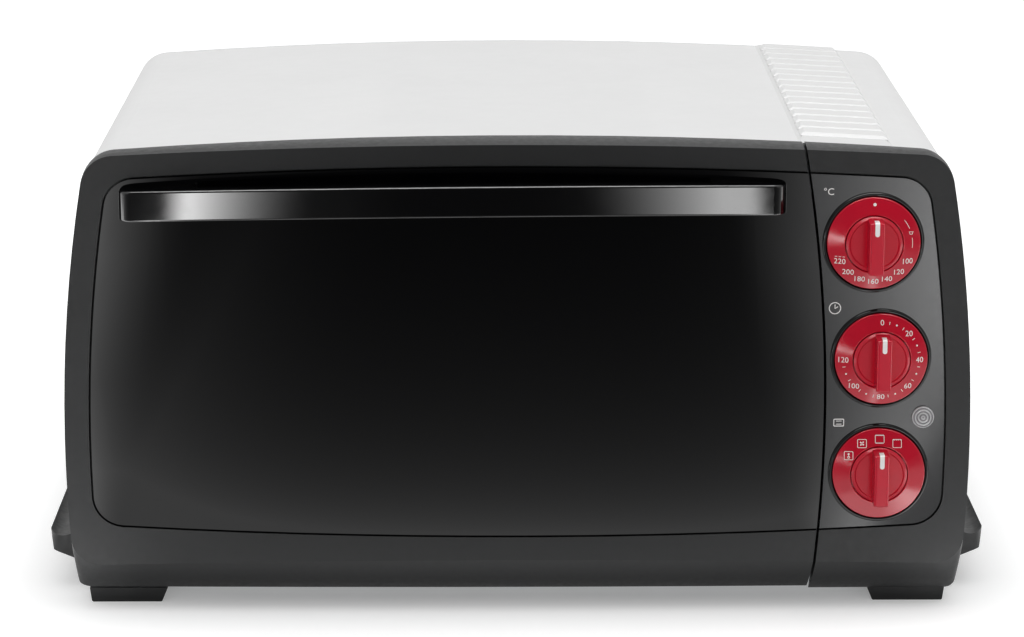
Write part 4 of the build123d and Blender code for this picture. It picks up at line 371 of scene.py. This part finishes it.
class InkSheet:
    """Marks for one piece, each laid on a surface as a thin closed plate."""

    def __init__(self, height):
        self.mesh = bmesh.new()
        self.height = height

    def plate(self, outline, place):
        """A flat outline in x and y, raised a little above and sunk a little below the surface."""
        top = [self.mesh.verts.new(place @ Vector((x, y, self.height))) for x, y in outline]
        low = [self.mesh.verts.new(place @ Vector((x, y, -self.height))) for x, y in outline]
        self.mesh.faces.new(top)
        self.mesh.faces.new(low[::-1])
        count = len(outline)
        for i in range(count):
            self.mesh.faces.new((top[i], low[i], low[(i + 1) % count], top[(i + 1) % count]))

    def band(self, outer, inner, place):
        """A closed line between two outlines of equal length."""
        count = len(outer)
        loops = []
        for points in (outer, inner):
            for height in (self.height, -self.height):
                loops.append([self.mesh.verts.new(place @ Vector((x, y, height))) for x, y in points])
        outer_top, outer_low, inner_top, inner_low = loops
        for i in range(count):
            j = (i + 1) % count
            self.mesh.faces.new((outer_top[i], outer_top[j], inner_top[j], inner_top[i]))
            self.mesh.faces.new((outer_low[j], outer_low[i], inner_low[i], inner_low[j]))
            self.mesh.faces.new((outer_top[j], outer_top[i], outer_low[i], outer_low[j]))
            self.mesh.faces.new((inner_top[i], inner_top[j], inner_low[j], inner_low[i]))

    def bar(self, x0, y0, x1, y1, width, place):
        """A straight printed line with square ends."""
        run = Vector((x1 - x0, y1 - y0))
        side = Vector((-run.y, run.x)).normalized() * width / 2
        corners = ((x0 - side.x, y0 - side.y), (x1 - side.x, y1 - side.y))
        self.plate((*corners, (x1 + side.x, y1 + side.y), (x0 + side.x, y0 + side.y)), place)

    def dot(self, x, y, radius, place):
        """A printed dot."""
        self.plate(circle(x, y, radius, 20), place)

    def words(self, text, height, place):
        """Numbers or a short generic sign, centred on the place."""
        curve = bpy.data.curves.new("ink", "FONT")
        curve.body = text
        # A figure is as high as 0.71 of the font's size.
        curve.size = height / 0.71
        curve.align_x = "CENTER"
        curve.align_y = "CENTER"
        curve.extrude = self.height
        curve.resolution_u = 4
        curve.space_character = 1.02
        holder = bpy.data.objects.new("ink", curve)
        bpy.context.scene.collection.objects.link(holder)
        bpy.context.view_layer.update()
        flat = bpy.data.meshes.new_from_object(holder.evaluated_get(bpy.context.evaluated_depsgraph_get()))
        xs = [v.co.x for v in flat.vertices]
        ys = [v.co.y for v in flat.vertices]
        middle = Matrix.Translation((-(min(xs) + max(xs)) / 2, -(min(ys) + max(ys)) / 2, 0))
        flat.transform(place @ middle)
        self.mesh.from_mesh(flat)
        bpy.data.objects.remove(holder)
        bpy.data.meshes.remove(flat)
        bpy.data.curves.remove(curve)

    def finish(self, name, body, material):
        """Turn the marks into one piece that rides on a body."""
        bmesh.ops.remove_doubles(self.mesh, verts=self.mesh.verts, dist=0.000001)
        bmesh.ops.recalc_face_normals(self.mesh, faces=self.mesh.faces)
        mesh = bpy.data.meshes.new(name)
        self.mesh.to_mesh(mesh)
        self.mesh.free()
        mesh.materials.append(material)
        piece = bpy.data.objects.new(name, mesh)
        bpy.context.scene.collection.objects.link(piece)
        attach(piece, body)
        return piece


def circle(x, y, radius, count):
    """Points round a circle."""
    turns = [2 * pi * i / count for i in range(count)]
    return [(x + radius * cos(t), y + radius * sin(t)) for t in turns]


def rounded_square(width, height, corner, steps=4):
    """Points round a rectangle with round corners, centred on the origin."""
    points = []
    for sx, sy, start in ((1, 1, 0), (-1, 1, 90), (-1, -1, 180), (1, -1, 270)):
        for i in range(steps + 1):
            turn = radians(start + 90 * i / steps)
            x = sx * (width / 2 - corner) + corner * cos(turn)
            y = sy * (height / 2 - corner) + corner * sin(turn)
            points.append((x, y))
    return points


def dial_shape(name):
    """Centre, rim and slope of a dial ring, read from its CAD node."""
    low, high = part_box(name + "_dial")
    x = (low.x + high.x) / 2
    z = (low.z + high.z) / 2
    mesh = NODES[name + "_dial"].data
    rim_radius = (high.x - low.x) / 2
    # The rim's points are those within 1.5% of the outer radius.
    near_rim = rim_radius * 0.985
    rim_y = min(v.co.y for v in mesh.vertices if Vector((v.co.x - x, v.co.z - z)).length > near_rim)
    crest = min(mesh.vertices, key=lambda v: v.co.y).co
    crest_radius = Vector((crest.x - x, crest.z - z)).length
    slope = (rim_y - low.y) / (rim_radius - crest_radius)
    return x, z, rim_radius, rim_y, slope


def on_cone(name, angle, radius):
    """Place on a dial's sloping face: turned upright, facing out along the cone's normal."""
    x, z, rim_radius, rim_y, slope = dial_shape(name)
    outward = Vector((sin(angle), 0, cos(angle)))
    point = Vector((x, rim_y - slope * (rim_radius - radius), z)) + outward * radius
    facing = (outward * slope + Vector((0, -1, 0))).normalized()
    across = Vector((1, 0, 0))
    across = (across - facing * across.dot(facing)).normalized()
    upward = facing.cross(across)
    turn = Matrix((across, upward, facing)).transposed().to_4x4()
    return Matrix.Translation(point) @ turn


def radial(place, angle):
    """Turn a place so that its y axis points away from the dial's centre."""
    return place @ Matrix.Rotation(-angle, 4, "Z")


# Operators


class MiniOvenCasing(bpy.types.Operator):
    """Satin white powder coat on the casing"""

    bl_idname = "mini_oven.casing"
    bl_label = "Casing"

    def execute(self, context):
        colours = context.scene.mini_oven_colours
        wear(powder_coated_steel(colours.casing), "outer_casing")
        return {"FINISHED"}


class MiniOvenMouldings(bpy.types.Operator):
    """Grained black ABS on the front, feet, grips and gland"""

    bl_idname = "mini_oven.mouldings"
    bl_label = "Mouldings"

    def execute(self, context):
        colours = context.scene.mini_oven_colours
        # Spark-eroded grain is about 0.5 mm, drawn at 0.9 mm so that it shows.
        grained = moulded_abs(colours.moulding, "abs_spark_grain_black", 0.9, 0.42, 0.54, 0.35, 0.35)
        wear(grained, "door_frame", "panel_frame", "side_grip_left", "side_grip_right")
        wear(grained, "front_foot_left", "front_foot_right", "rear_foot_left", "rear_foot_right")
        wear(grained, "cord_gland")
        wear(self.facia(colours.facia), "panel_facia")
        return {"FINISHED"}

    def facia(self, base):
        """Fine satin black, with the raised ring round each dial polished."""
        material = moulded_abs(base, "abs_fine_satin_black", 0.6, 0.13, 0.17, 0.08, 0.4)
        tree = material.node_tree
        shader = tree.nodes["Principled BSDF"]
        place = node(tree, "ShaderNodeTexCoord").outputs["Object"]
        spot = node(tree, "ShaderNodeSeparateXYZ", {"Vector": place}).outputs
        flat = node(tree, "ShaderNodeCombineXYZ", {"X": spot["X"], "Z": spot["Z"]}).outputs["Vector"]
        mask = 0.0
        # The polished ring is 2.1 mm wide, with a soft 0.3 mm border.
        ring_width = 2.1 * MM
        border = 0.3 * MM
        for name in DIALS:
            x, z, rim_radius = dial_shape(name)[:3]
            reach = node(tree, "ShaderNodeVectorMath", {0: flat, 1: (x, 0, z)}, operation="DISTANCE")
            ring = node(
                tree,
                "ShaderNodeMapRange",
                {
                    "Value": reach.outputs["Value"],
                    "From Min": rim_radius + ring_width,
                    "From Max": rim_radius + ring_width + border,
                    "To Min": 1.0,
                    "To Max": 0.0,
                },
            ).outputs["Result"]
            mask = node(tree, "ShaderNodeMath", {0: mask, 1: ring}, operation="MAXIMUM").outputs["Value"]
        for socket, kind, polished in (
            ("Base Color", "RGBA", linear("050506")),
            ("Roughness", "FLOAT", 0.08),
            ("Specular IOR Level", "FLOAT", 0.3),
        ):
            old = shader.inputs[socket]
            satin = old.links[0].from_socket if old.is_linked else old.default_value
            mix = node(tree, "ShaderNodeMix", {"Factor": mask, "A": satin, "B": polished}, data_type=kind)
            tree.links.new(mix.outputs["Result"], old)
        return material


class MiniOvenDoorGlazing(bpy.types.Operator):
    """Dark outer glass with painted shade, clear inner glass and silicone seal"""

    bl_idname = "mini_oven.door_glazing"
    bl_label = "Door glazing"

    def execute(self, context):
        wear(dark_glass_painted_shade(context.scene.mini_oven_colours.glass), "door_glass")
        wear(clear_glass(), "door_inner_glass")
        wear(dull_surface(linear("2B2B2C"), "silicone_extruded_black", 0.8, 0.6, 0.3), "door_seal")
        return {"FINISHED"}


class MiniOvenHandle(bpy.types.Operator):
    """Polished black bar"""

    bl_idname = "mini_oven.handle"
    bl_label = "Handle"

    def execute(self, context):
        wear(polished_abs(context.scene.mini_oven_colours.handle, "abs_polished_black", 0.07), "door_handle")
        return {"FINISHED"}


class MiniOvenControls(bpy.types.Operator):
    """Red dials and knobs, white pointers and the signal lens"""

    bl_idname = "mini_oven.controls"
    bl_label = "Dials, knobs and lens"

    def execute(self, context):
        colours = context.scene.mini_oven_colours
        wear(polished_abs(colours.dial, "abs_polished_dark_red", 0.16), *[n + "_dial" for n in DIALS])
        wear(polished_abs(colours.knob, "abs_polished_red", 0.2, 0.2), *[n + "_knob" for n in DIALS])
        pointer = dull_surface(colours.ink, "abs_moulded_white", 0.7, 0.4, 0.1)
        wear(pointer, *[n + "_pointer" for n in DIALS])
        wear(lens_polycarbonate(), "indicator_lens")
        return {"FINISHED"}


class MiniOvenDialPrint(bpy.types.Operator):
    """Numbers, ticks and function icons on the dials"""

    bl_idname = "mini_oven.dial_print"
    bl_label = "Dial print"

    def execute(self, context):
        sizes = context.scene.mini_oven_print
        ink = white_ink(context.scene.mini_oven_colours.ink)
        self.thermostat(sizes, ink)
        self.timer(sizes, ink)
        self.selector(sizes, ink)
        return {"FINISHED"}

    def thermostat(self, sizes, ink):
        """Temperatures round the lower half, a dot at the top and a warming range."""
        sheet = InkSheet(sizes.ink_height)
        radius = sizes.circle_radius
        # Degrees between two temperatures. The middle one stands at the bottom.
        gap = 20.9
        for step, text in enumerate(("100", "120", "140", "160", "180", "200", "220")):
            angle = radians(180 + gap * (step - 3))
            sheet.words(text, sizes.digit_height, on_cone("thermostat", angle, radius))
        sheet.dot(0, 0, sizes.dot_radius * 1.8, on_cone("thermostat", 0, radius * 1.04))
        # The warming range: two rows of ticks with a cup between them.
        width = sizes.fine_width * 0.8
        for degree in (*range(51, 66, 3), *range(81, 96, 3)):
            place = radial(on_cone("thermostat", radians(degree + 1.5), radius), radians(degree + 1.5))
            sheet.bar(-0.55 * MM, 0, 0.55 * MM, 0, width, place)
        cup = on_cone("thermostat", radians(73), radius)
        for line in (
            (-1.2, 0.5, 1.2, 0.5),
            (-0.9, 0.5, -0.6, -0.7),
            (0.9, 0.5, 0.6, -0.7),
            (-0.6, -0.7, 0.6, -0.7),
        ):
            sheet.bar(*[v * MM for v in line], width, cup)
        # Three dashes over the last temperature.
        dash = on_cone("thermostat", radians(180 + gap * 3), radius)
        for place_x in (-1.9, 0.0, 1.9):
            shift = dash @ Matrix.Translation((place_x * MM, sizes.digit_height * 0.85, 0))
            sheet.bar(-0.6 * MM, 0, 0.6 * MM, 0, sizes.fine_width, shift)
        sheet.finish("thermostat_numbers", "oven", ink)

    def timer(self, sizes, ink):
        """Minutes from 0 to 120, with a tick, a dot and a tick between each two."""
        sheet = InkSheet(sizes.ink_height)
        radius = sizes.circle_radius
        # Degrees between two numbers, which are 20 minutes apart.
        gap = 45
        for step in range(7):
            angle = radians(gap * step)
            sheet.words(str(20 * step), sizes.digit_height, on_cone("timer", angle, radius))
            if step == 6:
                break
            for part in (1, 3):
                turn = angle + radians(gap * part / 4)
                place = radial(on_cone("timer", turn, radius), turn)
                sheet.bar(0, -sizes.tick_length / 2, 0, sizes.tick_length / 2, sizes.fine_width, place)
            sheet.dot(0, 0, sizes.dot_radius, on_cone("timer", angle + radians(gap / 2), radius))
        sheet.finish("timer_numbers", "oven", ink)

    def selector(self, sizes, ink):
        """Four function icons: thaw, fan, both elements, upper element."""
        sheet = InkSheet(sizes.ink_height)
        size = sizes.icon_size
        line = sizes.fine_width
        half = size / 2
        tall = size * 0.94
        corner = size * 0.12
        for degree, icon in ((-58, "thaw"), (-29, "fan"), (0, "both"), (29, "grill")):
            place = on_cone("selector", radians(degree), sizes.circle_radius * 0.957)
            outer = rounded_square(size, tall, corner)
            inner = rounded_square(size - 2 * line, tall - 2 * line, corner - line / 2)
            sheet.band(outer, inner, place)
            edge = tall / 2
            if icon == "both":
                for side in (-1, 1):
                    y = side * (edge - line * 1.2)
                    sheet.bar(-half + line / 2, y, half - line / 2, y, line, place)
            elif icon == "grill":
                for i in range(4):
                    x = -half + line + (size - 2 * line) * (i + 0.5) / 4
                    top = edge - line * 0.8
                    sheet.bar(x - line, top, x, top - line * 1.4, line * 0.7, place)
                    sheet.bar(x, top - line * 1.4, x + line, top, line * 0.7, place)
            elif icon == "fan":
                for blade in range(4):
                    turn = place @ Matrix.Rotation(radians(90 * blade + 20), 4, "Z")
                    leaf = [(0.1, 0.0), (0.75, -0.05), (1.15, 0.35), (1.0, 0.8), (0.55, 0.75)]
                    sheet.plate([(x * MM, y * MM) for x, y in leaf], turn)
            else:
                sheet.dot(0, 0.75 * MM, 0.5 * MM, place)
                sheet.bar(0, 0.4 * MM, 0, -0.2 * MM, line, place)
                sheet.band(circle(0, -0.8 * MM, 0.65 * MM, 16), circle(0, -0.8 * MM, 0.32 * MM, 16), place)
        sheet.finish("selector_icons", "oven", ink)


class MiniOvenFaciaPrint(bpy.types.Operator):
    """Degree, clock and function signs on the facia"""

    bl_idname = "mini_oven.facia_print"
    bl_label = "Facia print"

    def execute(self, context):
        sizes = context.scene.mini_oven_print
        ink = bpy.data.materials["screen_printed_ink_white"]
        sheet = InkSheet(sizes.ink_height)
        # Each sign stands above its dial, at a place across and up in millimetres.
        degree = self.on_facia(150.6, 212.4)
        clock = self.on_facia(154.6, 154.4)
        box = self.on_facia(157.6, 96.7)
        sheet.words("°C", sizes.sign_height, degree)
        radius = sizes.clock_radius
        line = sizes.line_width
        sheet.band(circle(0, 0, radius, 40), circle(0, 0, radius - line, 40), clock)
        sheet.bar(0, -0.3 * MM, 0, radius * 0.62, line * 0.9, clock)
        sheet.bar(0, -0.2 * MM, radius * 0.5, radius * 0.25, line * 0.9, clock)
        wide = sizes.icon_size * 1.15
        high = sizes.icon_size * 0.85
        outer = rounded_square(wide, high, high * 0.15)
        inner = rounded_square(wide - 2 * line, high - 2 * line, high * 0.08)
        sheet.band(outer, inner, box)
        for level in (-0.2, 0.2):
            sheet.bar(-wide * 0.26, high * level, wide * 0.26, high * level, line * 0.8, box)
        sheet.finish("facia_signs", "oven", ink)
        return {"FINISHED"}

    def on_facia(self, x_mm, z_mm):
        """Place on the facia's front, facing the viewer."""
        x = x_mm * MM
        z = z_mm * MM
        facia = NODES["panel_facia"]
        hit, point, normal, _ = facia.ray_cast(Vector((x, -1, z)), Vector((0, 1, 0)))
        if not hit:
            raise RuntimeError("there is no facia at this place")
        facing = normal.normalized()
        across = Vector((1, 0, 0))
        across = (across - facing * across.dot(facing)).normalized()
        turn = Matrix((across, facing.cross(across), facing)).transposed().to_4x4()
        return Matrix.Translation(point) @ turn


class MiniOvenCavity(bpy.types.Operator):
    """Speckled enamel inside the oven and on the door's inner panel"""

    bl_idname = "mini_oven.cavity"
    bl_label = "Cavity"

    def execute(self, context):
        colours = context.scene.mini_oven_colours
        enamel = vitreous_enamel(colours.enamel, "vitreous_enamel_speckled_grey")
        wear(enamel, "cavity_liner", "cavity_rear_wall", "fan_guard", "door_inner_panel")
        return {"FINISHED"}


class MiniOvenElements(bpy.types.Operator):
    """Heating elements with their bushes and clips, and the thermostat's bulb"""

    bl_idname = "mini_oven.elements"
    bl_label = "Heating elements"

    def execute(self, context):
        tube = turned_metal(linear("5B554D"), "nickel_alloy_tube_heat_tinted", 0.34, 0.5)
        wear(tube, "upper_element", "lower_element", "cavity_clips")
        ceramic = dull_surface(linear("DAD4C6"), "steatite_fired_white", 0.9, 0.62, 0.25)
        wear(ceramic, "element_insulators", "terminal_block")
        wear(turned_metal(linear("B8734F"), "copper_drawn_tube", 0.24, 0.38), "thermostat_bulb")
        return {"FINISHED"}


class MiniOvenRackAndTrays(bpy.types.Operator):
    """Bright wire rack, enamelled baking tray and aluminium crumb tray"""

    bl_idname = "mini_oven.rack_and_trays"
    bl_label = "Rack and trays"

    def execute(self, context):
        wear(turned_metal(linear("D6D8DB"), "chrome_plated_wire_bright", 0.08, 0.14, 3.0), "wire_rack")
        wear(vitreous_enamel(linear("1B1C1E"), "vitreous_enamel_black"), "baking_tray")
        wear(turned_metal(linear("C4C6C8"), "aluminium_pressed_sheet", 0.3, 0.42), "crumb_tray")
        return {"FINISHED"}


class MiniOvenFan(bpy.types.Operator):
    """Aluminium blade and laminated motor"""

    bl_idname = "mini_oven.fan"
    bl_label = "Fan"

    def execute(self, context):
        wear(bpy.data.materials["aluminium_pressed_sheet"], "fan_blade")
        wear(turned_metal(linear("6E7074"), "electrical_steel_laminated", 0.4, 0.55), "fan_motor")
        return {"FINISHED"}


class MiniOvenSheetMetal(bpy.types.Operator):
    """Galvanised sheet behind, below and inside the front"""

    bl_idname = "mini_oven.sheet_metal"
    bl_label = "Sheet metal"

    def execute(self, context):
        sheet = zinc_plated_steel()
        wear(sheet, "rear_cover", "base_pan", "front_frame", "control_bracket", "hinge_brackets")
        return {"FINISHED"}


class MiniOvenFasteners(bpy.types.Operator):
    """Zinc-plated screws, nuts, pins, springs and shafts"""

    bl_idname = "mini_oven.fasteners"
    bl_label = "Fasteners and shafts"

    def execute(self, context):
        plated = turned_metal(linear("BDBFC2"), "steel_zinc_plated_bright", 0.2, 0.32)
        wear(plated, "rear_screws", "foot_screws", "handle_screws", "control_nuts")
        wear(plated, "hinge_pins", "hinge_springs", "stay_arm", "fan_shaft")
        wear(plated, *[n + "_shaft" for n in DIALS])
        return {"FINISHED"}


class MiniOvenElectrics(bpy.types.Operator):
    """Housings of the controls and the lamp"""

    bl_idname = "mini_oven.electrics"
    bl_label = "Electrics"

    def execute(self, context):
        housing = dull_surface(linear("8F8573"), "phenolic_moulded_brown", 0.8, 0.5, 0.2)
        wear(housing, *[n + "_body" for n in DIALS])
        wear(clear_glass(), "indicator_lamp")
        return {"FINISHED"}


class MiniOvenStage(bpy.types.Operator):
    """Floor, room, lights, reflecting cards and the camera"""

    bl_idname = "mini_oven.stage"
    bl_label = "Stage"

    def execute(self, context):
        settings = context.scene.mini_oven_stage
        context.scene.view_settings.view_transform = "Standard"
        self.room(settings.world_level)
        self.floor()
        self.lights(settings.key_power)
        self.cards()
        self.camera(settings.lens)
        return {"FINISHED"}

    def seen(self, tree):
        """1 for rays from the camera, reflections and glass, 0 for the light on the object."""
        path = node(tree, "ShaderNodeLightPath")
        first = node(
            tree,
            "ShaderNodeMath",
            {0: path.outputs["Is Camera Ray"], 1: path.outputs["Is Glossy Ray"]},
            operation="MAXIMUM",
        )
        both = node(
            tree,
            "ShaderNodeMath",
            {0: first.outputs["Value"], 1: path.outputs["Is Transmission Ray"]},
            operation="MAXIMUM",
        )
        return both.outputs["Value"]

    def room(self, level):
        """White where it is seen, and plain soft light on the object."""
        world = bpy.data.worlds.new("studio_room")
        bpy.context.scene.world = world
        world.use_nodes = True
        tree = world.node_tree
        tree.nodes.clear()
        light = node(tree, "ShaderNodeBackground", {"Color": (1, 1, 1, 1), "Strength": level})
        white = node(tree, "ShaderNodeBackground", {"Color": (1, 1, 1, 1), "Strength": 1.0})
        mix = node(
            tree,
            "ShaderNodeMixShader",
            {"Fac": self.seen(tree), 1: light.outputs["Background"], 2: white.outputs["Background"]},
        )
        node(tree, "ShaderNodeOutputWorld", {"Surface": mix.outputs["Shader"]})

    def level(self, tree, steps):
        """A level that varies with the place: named sums on x and y in turn. The last one is given back."""
        place = node(tree, "ShaderNodeNewGeometry").outputs["Position"]
        spot = node(tree, "ShaderNodeSeparateXYZ", {"Vector": place}).outputs
        values = {"x": spot["X"], "y": spot["Y"]}
        for name, operation, *terms in steps:
            inputs = {i: values.get(term, term) for i, term in enumerate(terms)}
            values[name] = node(tree, "ShaderNodeMath", inputs, operation=operation).outputs["Value"]
        return values[name]

    def floor(self):
        """White tabletop that keeps the object's shadow, with a painted glow that is dimmer near the oven.
        """
        material = bpy.data.materials.new("studio_paper_matt_white")
        material.use_nodes = True
        tree = material.node_tree
        tree.nodes.clear()
        paper = node(tree, "ShaderNodeBsdfDiffuse", {"Color": (0.82, 0.82, 0.82, 1)})
        # The oven's middle, and half its width and depth: 1 is its rounded outline on the table.
        middle = 0.008
        half_width = 0.24
        half_depth = 0.165
        roundness = 8.0
        reach = self.level(
            tree,
            (
                ("across", "SUBTRACT", "x", middle),
                ("across", "DIVIDE", "across", half_width),
                ("across", "ABSOLUTE", "across"),
                ("along", "DIVIDE", "y", half_depth),
                ("along", "ABSOLUTE", "along"),
                ("across", "POWER", "across", roundness),
                ("along", "POWER", "along", roundness),
                ("reach", "ADD", "across", "along"),
                ("reach", "POWER", "reach", 1 / roundness),
            ),
        )
        # The paper's glow is painted light. It rises from there outwards, so that the far paper is pure
        # white, and the dimmer glow near the oven paints a soft shade round the shadow.
        level = node(
            tree,
            "ShaderNodeMapRange",
            {"Value": reach, "From Min": 0.79, "From Max": 1.3, "To Min": 0.2, "To Max": 0.63},
        )
        painted_glow = node(
            tree, "ShaderNodeMath", {0: self.seen(tree), 1: level.outputs["Result"]}, operation="MULTIPLY"
        )
        # Painted glow on the paper, seen by the camera and in reflections.
        glow = node(tree, "ShaderNodeEmission", {"Strength": painted_glow.outputs["Value"]})
        both = node(tree, "ShaderNodeAddShader", {0: paper.outputs["BSDF"], 1: glow.outputs["Emission"]})
        node(tree, "ShaderNodeOutputMaterial", {"Surface": both.outputs["Shader"]})
        self.card("floor", 20, 20, Matrix.Identity(4), material)

    def card(self, name, width, height, place, material):
        """A flat rectangle with a material."""
        mesh = bpy.data.meshes.new(name)
        x = width / 2
        y = height / 2
        mesh.from_pydata([(-x, -y, 0), (x, -y, 0), (x, y, 0), (-x, y, 0)], [], [(0, 1, 2, 3)])
        mesh.materials.append(material)
        piece = bpy.data.objects.new(name, mesh)
        piece.matrix_world = place
        bpy.context.scene.collection.objects.link(piece)
        return piece

    def lights(self, power):
        """One large light overhead, a little in front."""
        data = bpy.data.lights.new("overhead", "AREA")
        data.shape = "RECTANGLE"
        data.size = 2.4
        data.size_y = 1.8
        data.energy = power
        lamp = bpy.data.objects.new("overhead", data)
        lamp.location = (0.1, -0.35, 1.9)
        lamp.rotation_euler = (radians(-10), 0, 0)
        bpy.context.scene.collection.objects.link(lamp)

    def cards(self):
        """Cards that only reflections see: a dark wall, a bright ceiling and two lit parts of the table."""
        # The cards on the table lie a millimetre over it, so that reflections meet them first.
        upright = Matrix.Translation((0, -2.6, 1.1)) @ Matrix.Rotation(radians(90), 4, "X")
        ahead = Matrix.Translation((0, -1.44, MM))
        above = Matrix.Translation((0, -0.4, 1.88))
        under = Matrix.Translation((0, 0.03, MM))
        for name, width, height, place, level in (
            ("dark_wall", 5.0, 2.2, upright, 0.05),
            ("lit_floor", 3.6, 2.4, ahead, self.floor_steps()),
            ("bright_ceiling", 1.6, 1.2, above, 9.0),
            ("lit_table", 2.4, 0.54, under, self.table_steps()),
        ):
            material = bpy.data.materials.new("card_" + name)
            material.use_nodes = True
            tree = material.node_tree
            tree.nodes.clear()
            if not isinstance(level, float):
                level = self.level(tree, level)
            glow = node(tree, "ShaderNodeEmission", {"Strength": level})
            node(tree, "ShaderNodeOutputMaterial", {"Surface": glow.outputs["Emission"]})
            self.reflected_only(self.card(name, width, height, place, material))

    def share(self, name, value, start, end):
        """Steps from 0 at the start of a stretch to 1 at its end, level before and after it."""
        return (
            (name, "SUBTRACT", value, start),
            (name, "DIVIDE", name, end - start),
            (name, "MAXIMUM", name, 0.0),
            (name, "MINIMUM", name, 1.0),
        )

    def table_steps(self):
        """Table along the oven's front and beside it, dim beneath and brighter towards both ends."""
        return (
            *self.share("front", "y", -0.152, -0.19),
            ("front", "MULTIPLY_ADD", "front", 0.82, 0.18),
            ("reach", "ABSOLUTE", "x"),
            *self.share("ends", "reach", 0.19, 0.235),
            ("ends", "MULTIPLY_ADD", "ends", 3.8, 2.2),
            ("front", "MULTIPLY", "front", "ends"),
            *self.share("beside", "reach", 0.245, 0.3),
            ("beside", "MULTIPLY", "beside", 4.0),
            ("level", "MAXIMUM", "front", "beside"),
        )

    def floor_steps(self):
        """Floor that fades with the distance from the oven, with the light of a strip at each side."""
        steps = [
            ("ahead", "SUBTRACT", -0.16, "y"),
            ("fade", "POWER", "ahead", -1.6),
            ("fade", "MULTIPLY", "fade", 0.0414),
            # The floor brightens sideways, up to 2.6 times.
            ("flare", "ABSOLUTE", "x"),
            ("flare", "POWER", "flare", 4.0),
            ("flare", "MULTIPLY_ADD", "flare", 500.0, 1.0),
            ("flare", "MINIMUM", "flare", 2.6),
            ("total", "MULTIPLY", "fade", "flare"),
            ("total", "MINIMUM", "total", 1.0),
            # The strips are weaker near the oven.
            ("far", "SUBTRACT", "ahead", 0.45),
            ("far", "MAXIMUM", "far", 0.0),
            ("far", "MULTIPLY_ADD", "far", 1.5, 0.45),
            ("far", "MINIMUM", "far", 1.0),
        ]
        # Each strip fans out from a place beside the oven. Over its turn it brightens, then ends in an edge.
        for side, start, low, width, edge, soft, power, level in (
            (-1.0, 0.21, 0.08, 0.25, 0.345, 0.045, 2.6, 17.0),
            (1.0, 0.146, 0.06, 0.27, 0.40, 0.02, 2.0, 9.0),
        ):
            steps += [
                ("turn", "MULTIPLY_ADD", "x", side, -start),
                ("turn", "DIVIDE", "turn", "ahead"),
                *self.share("rise", "turn", low, low + width),
                ("rise", "POWER", "rise", power),
                *self.share("fall", "turn", edge + soft, edge),
                ("strip", "MULTIPLY", "rise", "fall"),
                ("strip", "MULTIPLY", "strip", "far"),
                ("total", "MULTIPLY_ADD", "strip", level, "total"),
            ]
        return steps

    def reflected_only(self, piece):
        """Hide a card from everything but reflections."""
        piece.visible_camera = False
        piece.visible_diffuse = False
        piece.visible_shadow = False
        piece.visible_transmission = False
        piece.visible_volume_scatter = False

    def camera(self, lens):
        """Camera at the photograph's place, a little left of the middle and looking down."""
        data = bpy.data.cameras.new("camera")
        data.lens = lens
        data.sensor_width = 36
        data.clip_end = 50
        camera = bpy.data.objects.new("camera", data)
        # Fitted to the photograph: the place in metres, the turns in degrees.
        tilt = 13.25
        aside = -0.453
        camera.location = (-0.01669, -1.9098, 0.56203)
        camera.rotation_euler = (radians(90 - tilt), 0, radians(aside))
        bpy.context.scene.collection.objects.link(camera)
        bpy.context.scene.camera = camera


SETTINGS = (ColourSettings, PrintSettings, StageSettings)
OPERATORS = (
    MiniOvenStage,
    MiniOvenCasing,
    MiniOvenMouldings,
    MiniOvenDoorGlazing,
    MiniOvenHandle,
    MiniOvenControls,
    MiniOvenDialPrint,
    MiniOvenFaciaPrint,
    MiniOvenCavity,
    MiniOvenElements,
    MiniOvenRackAndTrays,
    MiniOvenFan,
    MiniOvenSheetMetal,
    MiniOvenFasteners,
    MiniOvenElectrics,
)


class MiniOvenPanel(bpy.types.Panel):
    """Settings and steps of the mini oven's finish"""

    bl_idname = "VIEW3D_PT_mini_oven"
    bl_label = "Mini oven"
    bl_space_type = "VIEW_3D"
    bl_region_type = "UI"
    bl_category = "Mini oven"

    def draw(self, context):
        groups = (
            context.scene.mini_oven_colours,
            context.scene.mini_oven_print,
            context.scene.mini_oven_stage,
        )
        for group in groups:
            box = self.layout.box()
            for name in group.__annotations__:
                box.prop(group, name)
        for operator in OPERATORS:
            self.layout.operator(operator.bl_idname)


def register():
    for cls in (*SETTINGS, *OPERATORS, MiniOvenPanel):
        bpy.utils.register_class(cls)
    bpy.types.Scene.mini_oven_colours = PointerProperty(type=ColourSettings)
    bpy.types.Scene.mini_oven_print = PointerProperty(type=PrintSettings)
    bpy.types.Scene.mini_oven_stage = PointerProperty(type=StageSettings)


def unregister():
    del bpy.types.Scene.mini_oven_stage
    del bpy.types.Scene.mini_oven_print
    del bpy.types.Scene.mini_oven_colours
    for cls in reversed((*SETTINGS, *OPERATORS, MiniOvenPanel)):
        bpy.utils.unregister_class(cls)


def main():
    register()
    for operator in OPERATORS:
        group, name = operator.bl_idname.split(".")
        getattr(getattr(bpy.ops, group), name)()


if __name__ == "__main__":
    main()
